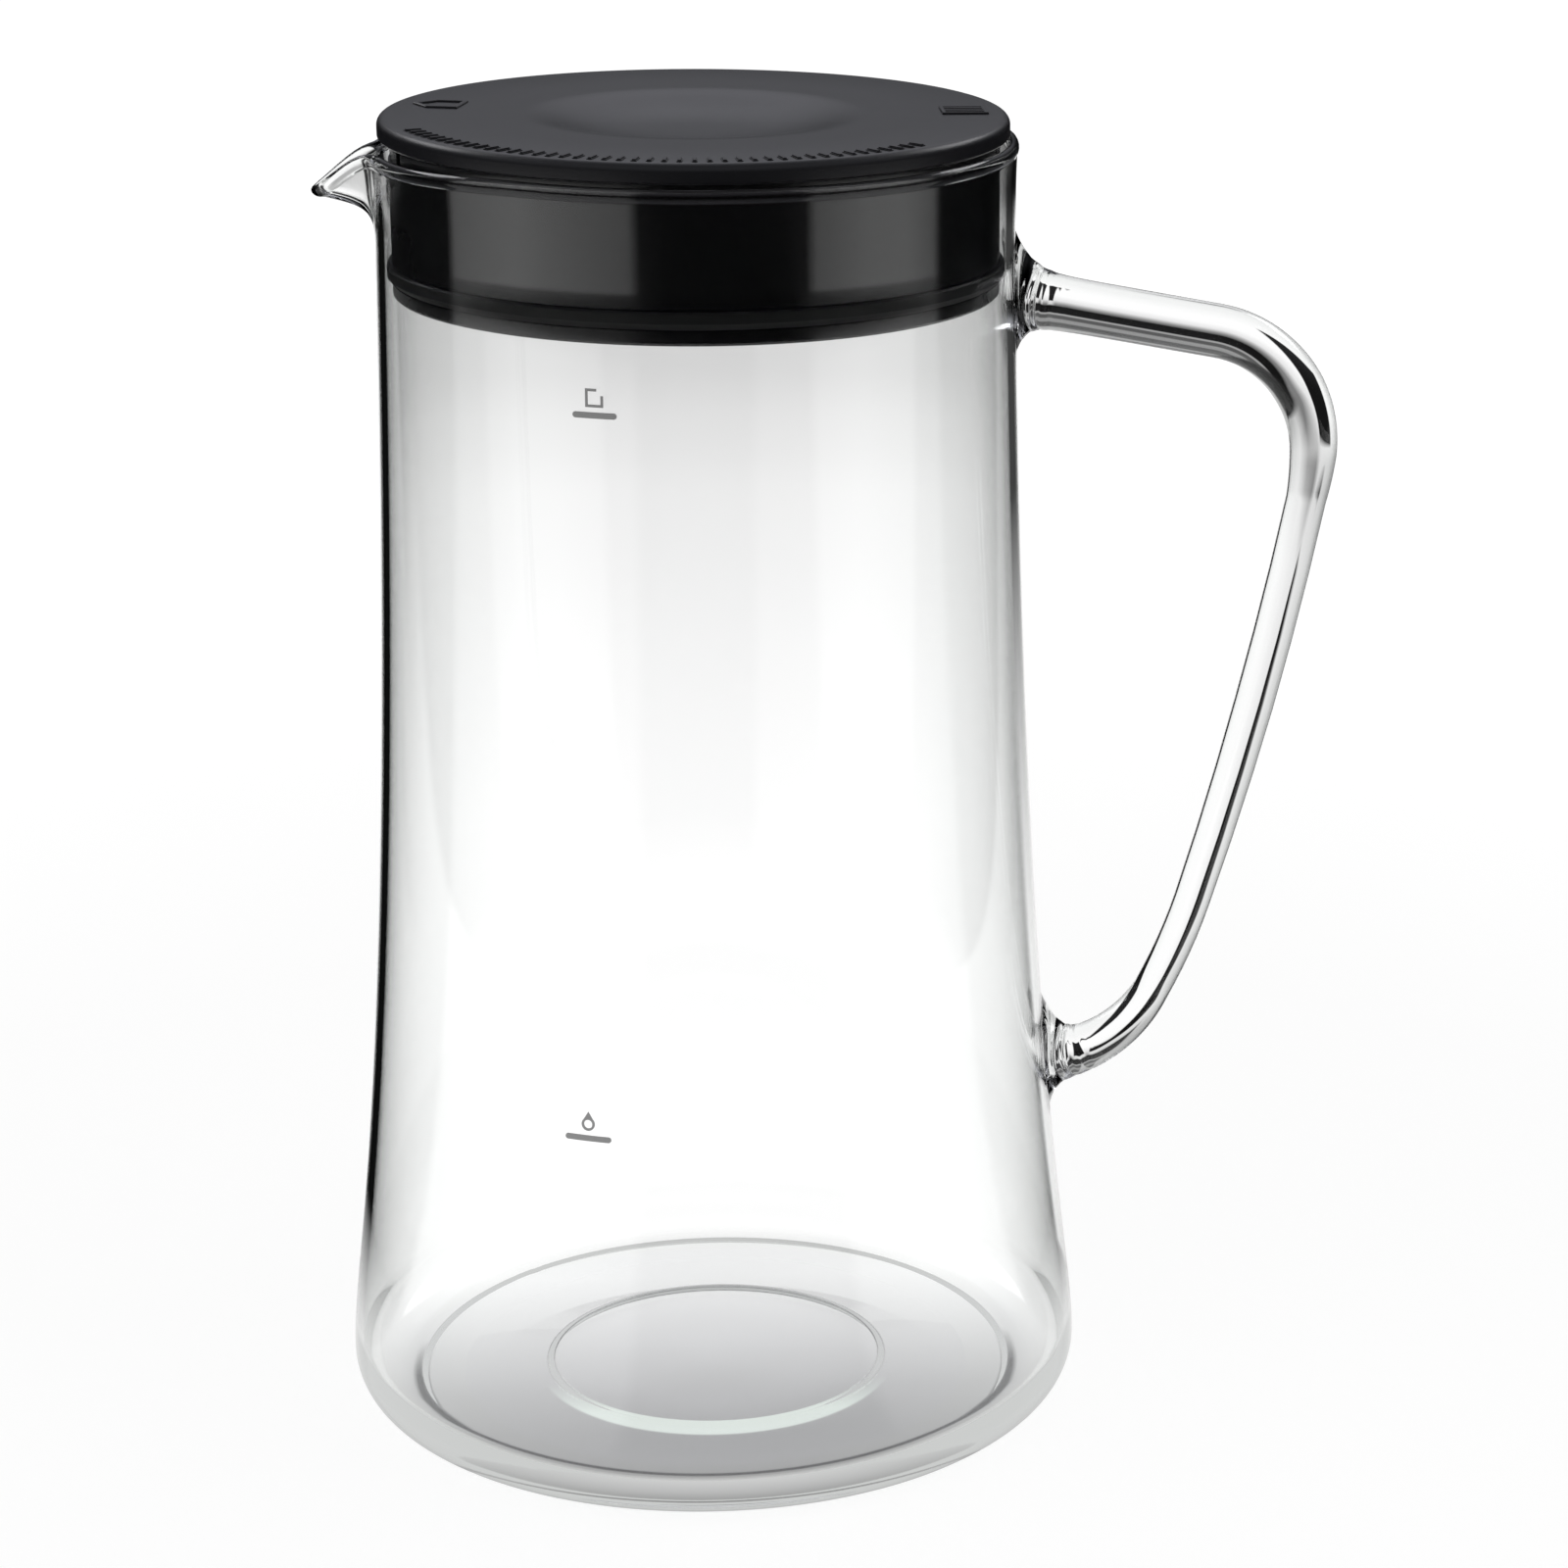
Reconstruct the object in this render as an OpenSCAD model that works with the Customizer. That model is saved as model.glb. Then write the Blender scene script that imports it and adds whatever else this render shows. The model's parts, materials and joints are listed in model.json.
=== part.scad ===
// Iced tea pitcher: blown glass body with a pulled spout and a fused rod handle,
// closed by a turning, lift-off plastic lid with a pouring window and a strainer.
// Millimetres, +Z up, the body's axis on Z and its foot on Z = 0.
// The handle points along +X and the spout along -X.

/* [Glass body] */
// Largest outside radius, just above the heel
belly_radius = 70.7; // [62:0.1:80]
// Radius of the rounded heel between the foot and the wall
heel_radius = 9; // [5:0.5:14]
// How far up the wall stays nearly upright before it starts to taper
belly_pull = 16; // [6:0.5:30]
// Radius that the taper aims at in the lower third
waist_radius = 60.5; // [58.5:0.1:66]
// Height at which the taper aims at the waist radius
waist_height = 64; // [50:1:90]
// Height of the neck, where the taper ends
neck_height = 226; // [210:1:260]
// Thickness of the blown wall
wall = 1.6; // [1.2:0.1:2.4]
// Height of the rim's top above the neck
rim_above_neck = 17.4; // [14:0.2:24]
// Half the height of the fire-polished bead on the rim
bead_half_height = 1.5; // [1:0.1:2]
// Half the width of the fire-polished bead on the rim
bead_half_width = 1.05; // [0.9:0.05:1.4]

/* [Base] */
// Thickness of glass from the table up to the inside floor
floor_height = 3.6; // [3:0.1:5]
// Radius of the inside corner between the floor and the wall
inside_corner = 9; // [5:0.5:12]
// Inner radius of the flat ring that the pitcher stands on
foot_inner = 58; // [50:0.5:59]
// How far the underside is hollowed above the foot
under_hollow = 0.9; // [0.5:0.1:1.4]
// Radius of the push-up in the middle of the underside
punt_radius = 33; // [20:0.5:40]
// Height of the push-up above the table
punt_height = 2.6; // [1.8:0.1:3]
// Rise of the inside floor over the push-up
floor_dome = 1.4; // [0.6:0.1:2.5]

/* [Spout] */
// How far the tip of the spout reaches out beyond the neck's wall
spout_reach = 10.4; // [5:0.2:11]
// How far the tip of the spout dips below the rim
spout_dip = 8.2; // [5:0.2:9]
// Half angle of the narrow beak that is pulled outwards
spout_spread = 4.4; // [4.2:0.1:7]
// Half angle over which the beak's lip dips
spout_channel = 4; // [3.8:0.1:6]
// How far the whole rim sags on the spout's side
rim_sag = 1.2; // [0:0.1:1.6]

/* [Handle] */
// Radius of the solid glass rod along the upper arm
arm_rod = 5; // [4:0.1:6]
// Radius of the rod in the grip
grip_rod = 3.8; // [3.2:0.1:5]
// Height of the rod's axis where it leaves the neck
arm_height = 214.4; // [200:0.2:220]
// Slope of the upper arm below level, in degrees
arm_slope = 10.3; // [4:0.1:14]
// Length of the straight upper arm from the wall's middle
arm_length = 38.9; // [30:0.1:46]
// Radius of the bend between the arm and the grip
bend_radius = 22.6; // [18:0.2:28]
// Angle of the bend between the arm and the grip
bend_angle = 82.9; // [78:0.1:86]
// Radius of the wider bend that runs into the grip
ease_radius = 63; // [40:1:90]
// Angle of the wider bend that runs into the grip
ease_angle = 7.7; // [4:0.1:10]
// Radius of the long curve of the grip
grip_radius = 740; // [500:10:1200]
// Angle of the long curve of the grip
grip_angle = 6.3; // [4.5:0.1:7.5]
// Radius of the curve under the grip
elbow_radius = 108; // [80:1:140]
// Angle of the curve under the grip
elbow_angle = 10.6; // [6:0.1:14]
// Radius of the upper fused pad, in the middle of the wall
upper_pad = 14; // [10:0.5:16]
// Radius of the lower fused pad, in the middle of the wall
lower_pad = 13; // [10:0.5:16]
// Distance over which the pads fall away into the rod
pad_fall = 2.4; // [1.5:0.1:3.5]

/* [Lid] */
// Outside radius of the skirt that plugs the neck, which the neck and the disc follow
skirt_radius = 54.9; // [50:0.1:60]
// Gap between the skirt and the inside of the neck
skirt_gap = 1.3; // [1:0.1:2]
// How far the lid's disc stands out beyond the skirt
disc_overhang = 1.8; // [1:0.1:3]
// Thickness of the lid's disc
disc_thickness = 3.6; // [3:0.1:5]
// Gap between the rim's top and the disc
rim_gap = 0.5; // [0.3:0.1:1.5]
// Radius of the disc's rounded top edge
disc_edge = 1.5; // [0.5:0.1:2]
// Radius of the shallow dish in the disc
dish_radius = 31; // [20:0.5:40]
// Depth of the dish
dish_depth = 3; // [1.5:0.1:4]
// Thickness of plastic under the dish
dish_floor = 2.4; // [1.8:0.1:3]
// Thickness of the skirt's wall
skirt_wall = 2.2; // [1.8:0.1:3]
// Length of the skirt below the disc
skirt_length = 27.6; // [22:0.2:32]
// Height of the openings under the disc
window_height = 4; // [2.5:0.1:6]
// Half angle of the pouring window on the spout side
window_half = 10.5; // [6:0.5:16]
// Number of strainer slots on the handle side
strainer_slots = 9; // [3:2:13]
// Width of one strainer slot, in degrees
strainer_slot = 1.6; // [1:0.1:2]

/* [Seal] */
// Height of the seal's groove above the skirt's lower edge
groove_above = 2.6; // [2:0.1:6]
// Height of the seal's groove
groove_height = 3.6; // [3:0.1:5]
// Depth of the seal's groove
groove_depth = 1.1; // [0.8:0.1:1.3]
// Clearance between the seal and the glass, and between the seal and its groove
seal_clearance = 0.3; // [0.2:0.05:0.35]

/* [Printed marks] */
// Height of the upper fill line
ice_height = 204.6; // [185:0.1:210]
// Height of the lower fill line
water_height = 73.7; // [50:0.1:100]
// Length of each fill line, in degrees around the body
mark_arc = 7.8; // [5:0.1:12]
// Height of each printed line
mark_height = 1.05; // [0.6:0.05:2]
// Thickness of the print on the glass
mark_thickness = 0.12; // [0.08:0.01:0.2]

/* [Raised marks on the lid] */
// Height of the raised marks on the disc
emboss = 0.35; // [0.2:0.05:0.6]
// Number of small ribs along the front of the disc
rib_count = 43; // [11:2:51]
// Angle between neighbouring ribs
rib_pitch = 2.7; // [2.4:0.1:3]
// Length of each rib, towards the middle of the disc
rib_length = 3.2; // [2:0.1:4]
// Width of each rib
rib_width = 1; // [0.6:0.1:1.4]
// Distance from the disc's edge to the middle of the pouring sign
pour_inset = 9.7; // [8:0.1:14]
// Distance from the disc's edge to the middle of the straining sign
strain_inset = 8.2; // [7:0.1:14]

/* [Hidden] */
$fn = 128;
e = 0.01;
neck_inner = skirt_radius + skirt_gap;
neck_radius = neck_inner + wall;
band_z = neck_height - 1;
rim_z = neck_height + rim_above_neck;
disc_z = rim_z + rim_gap;
top_z = disc_z + disc_thickness;
disc_radius = skirt_radius + disc_overhang;
skirt_inner = skirt_radius - skirt_wall;
skirt_z = disc_z - skirt_length;
groove_z = skirt_z + groove_above;
groove_radius = skirt_radius - groove_depth;
seal_axial = 0.2;
foot_outer = belly_radius - heel_radius;
bead_r = neck_inner + bead_half_width + 0.04;
path_z = rim_z - bead_half_height;

// Cubic curve through four control values
function bez(a, b, c, d, t) =
    a * pow(1 - t, 3) + 3 * b * pow(1 - t, 2) * t + 3 * c * (1 - t) * t * t + d * pow(t, 3);
function wall_point(t) = [
    bez(belly_radius, belly_radius, waist_radius, neck_radius, t),
    bez(heel_radius, heel_radius + belly_pull, waist_height, neck_height, t)];
// Curve parameter of the outside wall at a height, found by halving
function wall_t(z, lo = 0, hi = 1, n = 26) =
    n == 0 ? (lo + hi) / 2
    : let (m = (lo + hi) / 2)
        wall_point(m)[1] < z ? wall_t(z, m, hi, n - 1) : wall_t(z, lo, m, n - 1);
// Outside radius of the glass at a height above the heel
function wall_radius(z) = z >= neck_height ? neck_radius : wall_point(wall_t(z))[0];

// Outside of the body from the foot to the band under the rim
wall_steps = 34;
function wall_z(i, low) = low + (band_z - low) * pow(i / wall_steps, 1.5);
outer_points = concat(
    [for (i = [0:9]) let (a = -90 + 10 * i)
        [foot_outer + heel_radius * cos(a), heel_radius + heel_radius * sin(a)]],
    [for (i = [1:wall_steps - 1]) let (z = wall_z(i, heel_radius)) [wall_radius(z), z]]);
corner_z = floor_height + inside_corner;
corner_r = wall_radius(corner_z) - wall - inside_corner;
inner_points = concat(
    [for (i = [wall_steps - 1:-1:1]) let (z = wall_z(i, corner_z)) [wall_radius(z) - wall, z]],
    [for (i = [0:9]) let (a = -10 * i)
        [corner_r + inside_corner * cos(a), corner_z + inside_corner * sin(a)]],
    [for (i = [0:8]) let (u = 1 - i / 8)
        [punt_radius * u, floor_height + floor_dome * (1 + cos(180 * u)) / 2]]);
under_points = [
    [0, punt_height], [punt_radius - 0.6, punt_height], [punt_radius, under_hollow],
    [foot_inner - 1.2, under_hollow], [foot_inner, 0]];

// Middle of the wall of the top band: s runs from 0 at the band's foot to 1 in the middle
// of the rim's bead. Round the neck the band is straight. At an angle from the spout it
// is pulled outwards and dips by shares that fade out towards the sector's edge.
spout_half = 60;
function smooth(u) = u <= 0 ? 0 : u >= 1 ? 1 : u * u * (3 - 2 * u);
function bell(a, w, p) = exp(-pow(abs(a) / w, p));
function pull(a) = abs(a) >= spout_half ? 0
    : 0.8 * bell(a, spout_spread, 2.6) + 0.2 * bell(a, 1.6 * spout_spread, 2);
function dip(a) = abs(a) >= spout_half ? 0
    : rim_sag * (smooth((spout_half - abs(a)) / (spout_half - 20)) + bell(a, 12, 2))
        + (spout_dip - 2 * rim_sag) * bell(a, spout_channel, 3);
mid_r = neck_radius - wall / 2;
spout_top = path_z - spout_dip;
function straight_path(s) = [mid_r + (bead_r - mid_r) * pow(s, 4), band_z + (path_z - band_z) * s];
function spout_path(s) = [
    bez(mid_r, mid_r, mid_r + 0.29 * spout_reach, mid_r + spout_reach, s),
    bez(band_z, spout_top - 2.1, spout_top - 1.8, spout_top, s)];
function band_point(s, a) =
    let (p = straight_path(s), q = spout_path(s), r = p[0] + pull(a) * (q[0] - p[0]))
    [-r * cos(a), -r * sin(a), p[1] + dip(a) / spout_dip * (q[1] - p[1])];
function unit(v) = v / norm(v);
// Directions at a point of the band: along the rim, up the wall and out of the wall
function band_frame(s, a) =
    let (t = abs(a) >= spout_half ? [sin(a), -cos(a), 0]
            : unit(band_point(s, a + 0.05) - band_point(s, a - 0.05)),
        v = band_point(min(s + 0.01, 1), a) - band_point(max(s - 0.01, 0), a),
        u = unit(v - (v * t) * t))
    [t, u, cross(t, u)];
band_s = [0.17, 0.32, 0.46, 0.58, 0.69, 0.78, 0.86, 0.92];
bead_angles = [for (i = [0:8]) 128 - 32 * i];
// Section of the band from the foot of its outside, over the bead, down the inside
function band_section(a) =
    let (side = [-cos(a), -sin(a), 0], c = band_point(1, a), f = band_frame(1, a))
    concat(
        [neck_radius * side + [0, 0, band_z]],
        [for (s = band_s) band_point(s, a) + wall / 2 * band_frame(s, a)[2]],
        [for (b = bead_angles)
            c + bead_half_width * sin(b) * f[2] + bead_half_height * cos(b) * f[1]],
        [for (i = [len(band_s) - 1:-1:0])
            band_point(band_s[i], a) - wall / 2 * band_frame(band_s[i], a)[2]],
        [neck_inner * side + [0, 0, band_z]]);

module glass_body() {
    // the same section, laid into the plane of the turned shape
    top = [for (p = band_section(spout_half)) [norm([p[0], p[1]]), p[2]]];
    color([0.86, 0.93, 0.92, 0.35])
    difference() {
        rotate_extrude() polygon(concat(
            under_points, outer_points, [[neck_radius, band_z - 2]],
            [for (i = [1:len(top) - 2]) top[i]], [[neck_inner, band_z - 2]], inner_points));
        // the pulled spout fills this sector of the rim
        rotate([0, 0, 180 - spout_half]) rotate_extrude(angle = 2 * spout_half)
            translate([neck_inner - 5, band_z]) square([neck_radius, rim_above_neck + 10]);
    }
}

// The spout: the same wall, drawn out and down over its sector of the rim
spout_steps = 29;
module spout() {
    // closely spaced over the beak and wider towards the sector's edges
    angles = [for (i = [-spout_steps:spout_steps]) let (u = abs(i) / spout_steps)
        sign(i) * spout_half * (0.27 * u + 0.73 * pow(u, 2.4))];
    n = len(band_section(0));
    last = 2 * spout_steps * n;
    points = [for (a = angles, p = band_section(a)) p];
    sides = [for (j = [0:2 * spout_steps - 1], i = [0:n - 1])
        let (i2 = (i + 1) % n, a = j * n + i, b = (j + 1) * n + i, c = (j + 1) * n + i2, d = j * n + i2)
        each [[a, b, c], [a, c, d]]];
    ends = [for (i = [0:floor(n / 2) - 1])
        let (p = i, q = i + 1, r = n - 2 - i, t = n - 1 - i)
        each (q == r ? [[p, q, t], [last + q, last + p, last + t]]
            : [[p, q, t], [q, r, t], [last + q, last + p, last + t], [last + r, last + q, last + t]])];
    color([0.86, 0.93, 0.92, 0.35])
    polyhedron(points = points, faces = concat(sides, ends), convexity = 6);
}

// The rod's path in the plane of X and Z: a straight arm and five bends, the last of
// which has the radius that brings the rod square to the wall
function heading(a) = [cos(a), -sin(a)];
function turn(p, h, r, a) = p + r * [sin(h + a) - sin(h), cos(h + a) - cos(h)];
function wall_mid(z) = wall_radius(z) - wall / 2;
toe_heading = 176;
h1 = arm_slope + bend_angle;
h2 = h1 + ease_angle;
h3 = h2 + grip_angle;
h4 = h3 + elbow_angle;
arm_start = [wall_mid(arm_height), arm_height];
arm_end = arm_start + arm_length * heading(arm_slope);
bend_end = turn(arm_end, arm_slope, bend_radius, bend_angle);
ease_end = turn(bend_end, h1, ease_radius, ease_angle);
grip_end = turn(ease_end, h2, grip_radius, grip_angle);
elbow_end = turn(grip_end, h3, elbow_radius, elbow_angle);
function toe_fit(z, n = 5) =
    let (r = (elbow_end[0] - wall_mid(z)) / (sin(h4) - sin(toe_heading)))
    n == 0 ? r : toe_fit(elbow_end[1] + r * (cos(toe_heading) - cos(h4)), n - 1);
toe_radius = toe_fit(waist_height);
toe_angle = toe_heading - h4;
function arc_length(r, a) = r * a * PI / 180;
toe_length = arc_length(toe_radius, toe_angle);

// Stations along the rod: position, heading, distance from the upper and lower end
pad_zone = 4.6 * pad_fall;
pad_steps = [0, 0.06, 0.13, 0.21, 0.31, 0.43, 0.58, 0.77];
function arc_stations(p, h, r, a, n) = [for (i = [1:n])
    let (t = a * i / n) [turn(p, h, r, t), h + t, 99, 99]];
stations = concat(
    [for (u = pad_steps) let (d = u * pad_zone)
        [arm_start + d * heading(arm_slope), arm_slope, d, 99]],
    [for (i = [0:4]) let (d = pad_zone + (arm_length - pad_zone) * i / 4)
        [arm_start + d * heading(arm_slope), arm_slope, d, 99]],
    arc_stations(arm_end, arm_slope, bend_radius, bend_angle, 14),
    arc_stations(bend_end, h1, ease_radius, ease_angle, 2),
    arc_stations(ease_end, h2, grip_radius, grip_angle, 6),
    arc_stations(grip_end, h3, elbow_radius, elbow_angle, 3),
    [for (i = [1:6]) let (d = (toe_length - pad_zone) * i / 6, t = toe_angle * d / toe_length)
        [turn(elbow_end, h4, toe_radius, t), h4 + t, 99, toe_length - d]],
    [for (i = [len(pad_steps) - 1:-1:0])
        let (d = pad_steps[i] * pad_zone, t = toe_angle * (1 - d / toe_length))
        [turn(elbow_end, h4, toe_radius, t), h4 + t, 99, d]]);

// The rod is thick along the arm, slim in the grip and thicker again at the toe
function rod_at(h) = lookup(h, [
    [arm_slope, arm_rod], [arm_slope + bend_angle * 0.6, arm_rod - 0.1],
    [h1, (arm_rod + grip_rod) / 2], [h2, grip_rod], [(h2 + h3) / 2, grip_rod],
    [h3, grip_rod - 0.25], [h4, grip_rod - 0.25], [h4 + toe_angle * 0.4, grip_rod + 0.4],
    [toe_heading, arm_rod]]);
function pad_at(d, pad, rod) = d > pad_zone ? 0 : (pad - rod) * exp(-d / pad_fall);
rod_sides = 24;
// One ring of the rod: near a wall it lies on the middle of the glass, further out it
// is square to the rod
function rod_ring(q) =
    let (rod = rod_at(q[1]), d = min(q[2], q[3]), c = q[0],
        r = rod + pad_at(q[2], upper_pad, rod) + pad_at(q[3], lower_pad, rod),
        k = smooth(d / pad_zone))
    [for (i = [0:rod_sides - 1])
        let (a = 360 * i / rod_sides, y = r * sin(a), v = r * cos(a),
            x = c[0] + v * sin(q[1]), z = c[1] + v * cos(q[1]))
        [k * x + (1 - k) * (sqrt(pow(wall_mid(z), 2) - y * y) + d), y, z]];

module glass_handle() {
    rings = [for (q = stations) rod_ring(q)];
    n = rod_sides;
    m = len(rings);
    points = concat([for (g = rings, p = g) p],
        [[arm_start[0], 0, arm_start[1]], [wall_mid(rings[m - 1][0][2]), 0, stations[m - 1][0][1]]]);
    color([0.86, 0.93, 0.92, 0.35])
    polyhedron(points = points, convexity = 6, faces = concat(
        [for (j = [0:m - 2], i = [0:n - 1])
            let (i2 = (i + 1) % n, a = j * n + i, b = j * n + i2, c = b + n, d = a + n)
            each [[a, b, c], [a, c, d]]],
        [for (i = [0:n - 1]) [m * n, (i + 1) % n, i]],
        [for (i = [0:n - 1]) [m * n + 1, (m - 1) * n + i, (m - 1) * n + (i + 1) % n]]));
}

// Top of the disc at a radius: flat outside the dish, a smooth hollow inside it
function disc_top(r) =
    r >= dish_radius ? top_z : top_z - dish_depth * (1 + cos(180 * pow(r / dish_radius, 1.4))) / 2;
dish_steps = 16;

module disc_solid() {
    rotate_extrude() polygon(concat(
        [for (i = [0:dish_steps]) let (r = (dish_radius + 2) * i / dish_steps)
            [r, min(disc_z, disc_top(r) - dish_floor)]],
        [[disc_radius, disc_z]],
        [for (i = [0:6]) let (a = 15 * i)
            [disc_radius - disc_edge + disc_edge * cos(a), top_z - disc_edge + disc_edge * sin(a)]],
        [for (i = [dish_steps:-1:0]) let (r = dish_radius * i / dish_steps) [r, disc_top(r)]]));
}

// Raised outline of a five-sided arrow that shows the pouring side
module pour_sign() {
    difference() {
        polygon([[-4.2, -4], [1.6, -4], [5, 0], [1.6, 4], [-4.2, 4]]);
        polygon([[-3.4, -3.2], [1.25, -3.2], [3.95, 0], [1.25, 3.2], [-3.4, 3.2]]);
    }
}

// Raised frame with bars that shows the straining side
module strain_sign() {
    difference() {
        translate([-4.2, -4]) square([8.4, 8]);
        translate([-3.4, -3.2]) square([6.8, 6.4]);
    }
    for (i = [-1:1]) translate([-3.6, 1.9 * i - 0.4]) square([7.2, 0.8]);
}

module lid_cover() {
    color([0.09, 0.09, 0.10])
    union() {
        disc_solid();
        translate([0, 0, top_z - e]) {
            rotate([0, 0, 168]) translate([disc_radius - pour_inset, 0, 0])
                linear_extrude(emboss + e) pour_sign();
            rotate([0, 0, 2]) translate([disc_radius - strain_inset, 0, 0])
                linear_extrude(emboss + e) strain_sign();
            for (i = [0:rib_count - 1])
                rotate([0, 0, -101 + rib_pitch * (i - (rib_count - 1) / 2)])
                    translate([disc_radius - disc_edge - rib_length - 0.6, -rib_width / 2, 0])
                        cube([rib_length, rib_width, emboss + e]);
        }
    }
}

// A wedge that opens the skirt's wall between two angles
module window(a, half) {
    rotate([0, 0, a - half])
        rotate_extrude(angle = 2 * half)
            translate([skirt_inner - 1, disc_z - window_height])
                square([skirt_wall + 2, window_height + 1]);
}

module lid_skirt() {
    color([0.05, 0.05, 0.055])
    difference() {
        rotate_extrude() polygon([
            [skirt_inner, skirt_z + 0.5], [skirt_inner + 0.5, skirt_z],
            [skirt_radius - 0.5, skirt_z], [skirt_radius, skirt_z + 0.5],
            [skirt_radius, groove_z], [groove_radius, groove_z],
            [groove_radius, groove_z + groove_height], [skirt_radius, groove_z + groove_height],
            [skirt_radius, disc_z], [skirt_inner, disc_z]]);
        window(180, window_half);
        for (s = [-1, 1]) window(180 + s * (window_half + 8.2), 1.2);
        for (i = [0:strainer_slots - 1])
            window(2 * strainer_slot * (i - (strainer_slots - 1) / 2), strainer_slot / 2);
    }
}

module lid_seal() {
    inner = groove_radius + seal_clearance;
    outer = wall_radius(groove_z + groove_height) - wall - seal_clearance - 0.1;
    low = groove_z + seal_axial;
    high = groove_z + groove_height - seal_axial;
    color([0.07, 0.07, 0.075])
    rotate_extrude() polygon([
        [inner, low], [skirt_radius, low], [outer, low + 1.2], [outer, high - 0.3],
        [outer - 0.3, high], [inner, high]]);
}

// A thin skin on the outside of the glass between two heights
module print_skin(low, high) {
    rotate_extrude() polygon(concat(
        [for (i = [0:4]) let (z = low + (high - low) * i / 4)
            [wall_radius(z) + mark_thickness, z]],
        [for (i = [4:-1:0]) let (z = low + (high - low) * i / 4)
            [wall_radius(z) - 0.06, z]]));
}

// A flat shape laid on the skin at an angle and a height
module printed(a, z) {
    intersection() {
        print_skin(z - 3, z + 3);
        rotate([0, 0, a]) translate([0, 0, z]) rotate([90, 0, 90])
            linear_extrude(belly_radius + 5) children();
    }
}

module fill_line(a, z) {
    w = 2 * wall_radius(z) * sin(mark_arc / 2);
    printed(a, z) union() {
        square([w - mark_height, mark_height], center = true);
        for (s = [-1, 1]) translate([s * (w - mark_height) / 2, 0])
            circle(d = mark_height);
    }
}

ice_angle = -108;
water_angle = -110.3;

module ice_line() {
    color([0.55, 0.55, 0.56]) fill_line(ice_angle, ice_height);
}

module water_line() {
    color([0.66, 0.66, 0.67]) fill_line(water_angle, water_height);
}

// A small block with a corner cut out of it, for ice
module ice_symbol() {
    color([0.55, 0.55, 0.56])
    printed(ice_angle, ice_height + 3) difference() {
        square([3.2, 3.2], center = true);
        square([2.3, 2.3], center = true);
        translate([0.4, 0.4]) square([2, 2]);
    }
}

// A small ring-shaped drop, for water
module water_symbol() {
    color([0.66, 0.66, 0.67])
    printed(water_angle, water_height + 3) difference() {
        union() {
            translate([0, -0.35]) circle(r = 1.25);
            polygon([[-1.16, 0.1], [1.16, 0.1], [0, 1.95]]);
        }
        translate([0, -0.35]) circle(r = 0.8);
    }
}

glass_body();
spout();
glass_handle();
lid_cover();
lid_skirt();
lid_seal();
ice_line();
ice_symbol();
water_line();
water_symbol();
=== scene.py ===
# %% [markdown]
# A blown-glass iced tea pitcher with a black plastic lid.
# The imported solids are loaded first. They fix where everything is and how it moves, and
# each cell below either gives one of them a better finish or stands a finer piece in its
# place.

# %% Load the frame
import json
import math
import bpy
import bmesh
import numpy as np
from mathutils import Matrix, Vector

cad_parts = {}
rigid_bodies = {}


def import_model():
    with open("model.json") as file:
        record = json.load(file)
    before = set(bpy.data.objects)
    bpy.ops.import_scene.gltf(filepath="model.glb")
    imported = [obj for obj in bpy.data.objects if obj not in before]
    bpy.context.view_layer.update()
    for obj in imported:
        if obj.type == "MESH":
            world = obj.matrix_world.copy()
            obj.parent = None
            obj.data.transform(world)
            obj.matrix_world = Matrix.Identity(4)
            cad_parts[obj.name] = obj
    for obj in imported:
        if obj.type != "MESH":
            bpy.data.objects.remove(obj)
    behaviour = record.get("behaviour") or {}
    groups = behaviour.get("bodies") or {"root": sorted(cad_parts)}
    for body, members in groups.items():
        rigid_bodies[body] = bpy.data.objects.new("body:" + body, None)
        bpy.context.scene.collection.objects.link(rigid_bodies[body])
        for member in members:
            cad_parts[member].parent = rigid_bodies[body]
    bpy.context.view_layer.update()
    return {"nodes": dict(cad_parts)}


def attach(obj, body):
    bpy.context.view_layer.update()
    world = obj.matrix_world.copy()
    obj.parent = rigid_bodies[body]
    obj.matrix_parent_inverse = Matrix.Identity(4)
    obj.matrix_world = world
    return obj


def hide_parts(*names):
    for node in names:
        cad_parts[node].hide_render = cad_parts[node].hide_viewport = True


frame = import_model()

MM = 0.001
print("solids:", sorted(frame["nodes"]))

# %% [markdown]
# The camera comes next, because every finish is judged through it. Its place was worked
# out from the outlines of the pitcher: it looks slightly down from about 0.78 metres in
# front. The picture's centre isn't on the lens axis, so a small shift moves the frame
# and keeps the upright lines upright.

# %% Camera
PICTURE = 1600      # the photograph's width and height, in pixels
SENSOR = 36         # the sensor's width, in mm
eye = np.array([0.0, -777.08, 364.56]) * MM
target = np.array([67.893, 0.0, 83.464]) * MM
roll = 0.0122       # in radians
focal_px, axis_px = 4360.366, (1082.536, 984.391)

forward = (target - eye) / np.linalg.norm(target - eye)
level = np.cross(forward, (0, 0, 1))
level /= np.linalg.norm(level)
upright = np.cross(level, forward)
right = math.cos(roll) * level + math.sin(roll) * upright
up = math.cos(roll) * upright - math.sin(roll) * level

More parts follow.
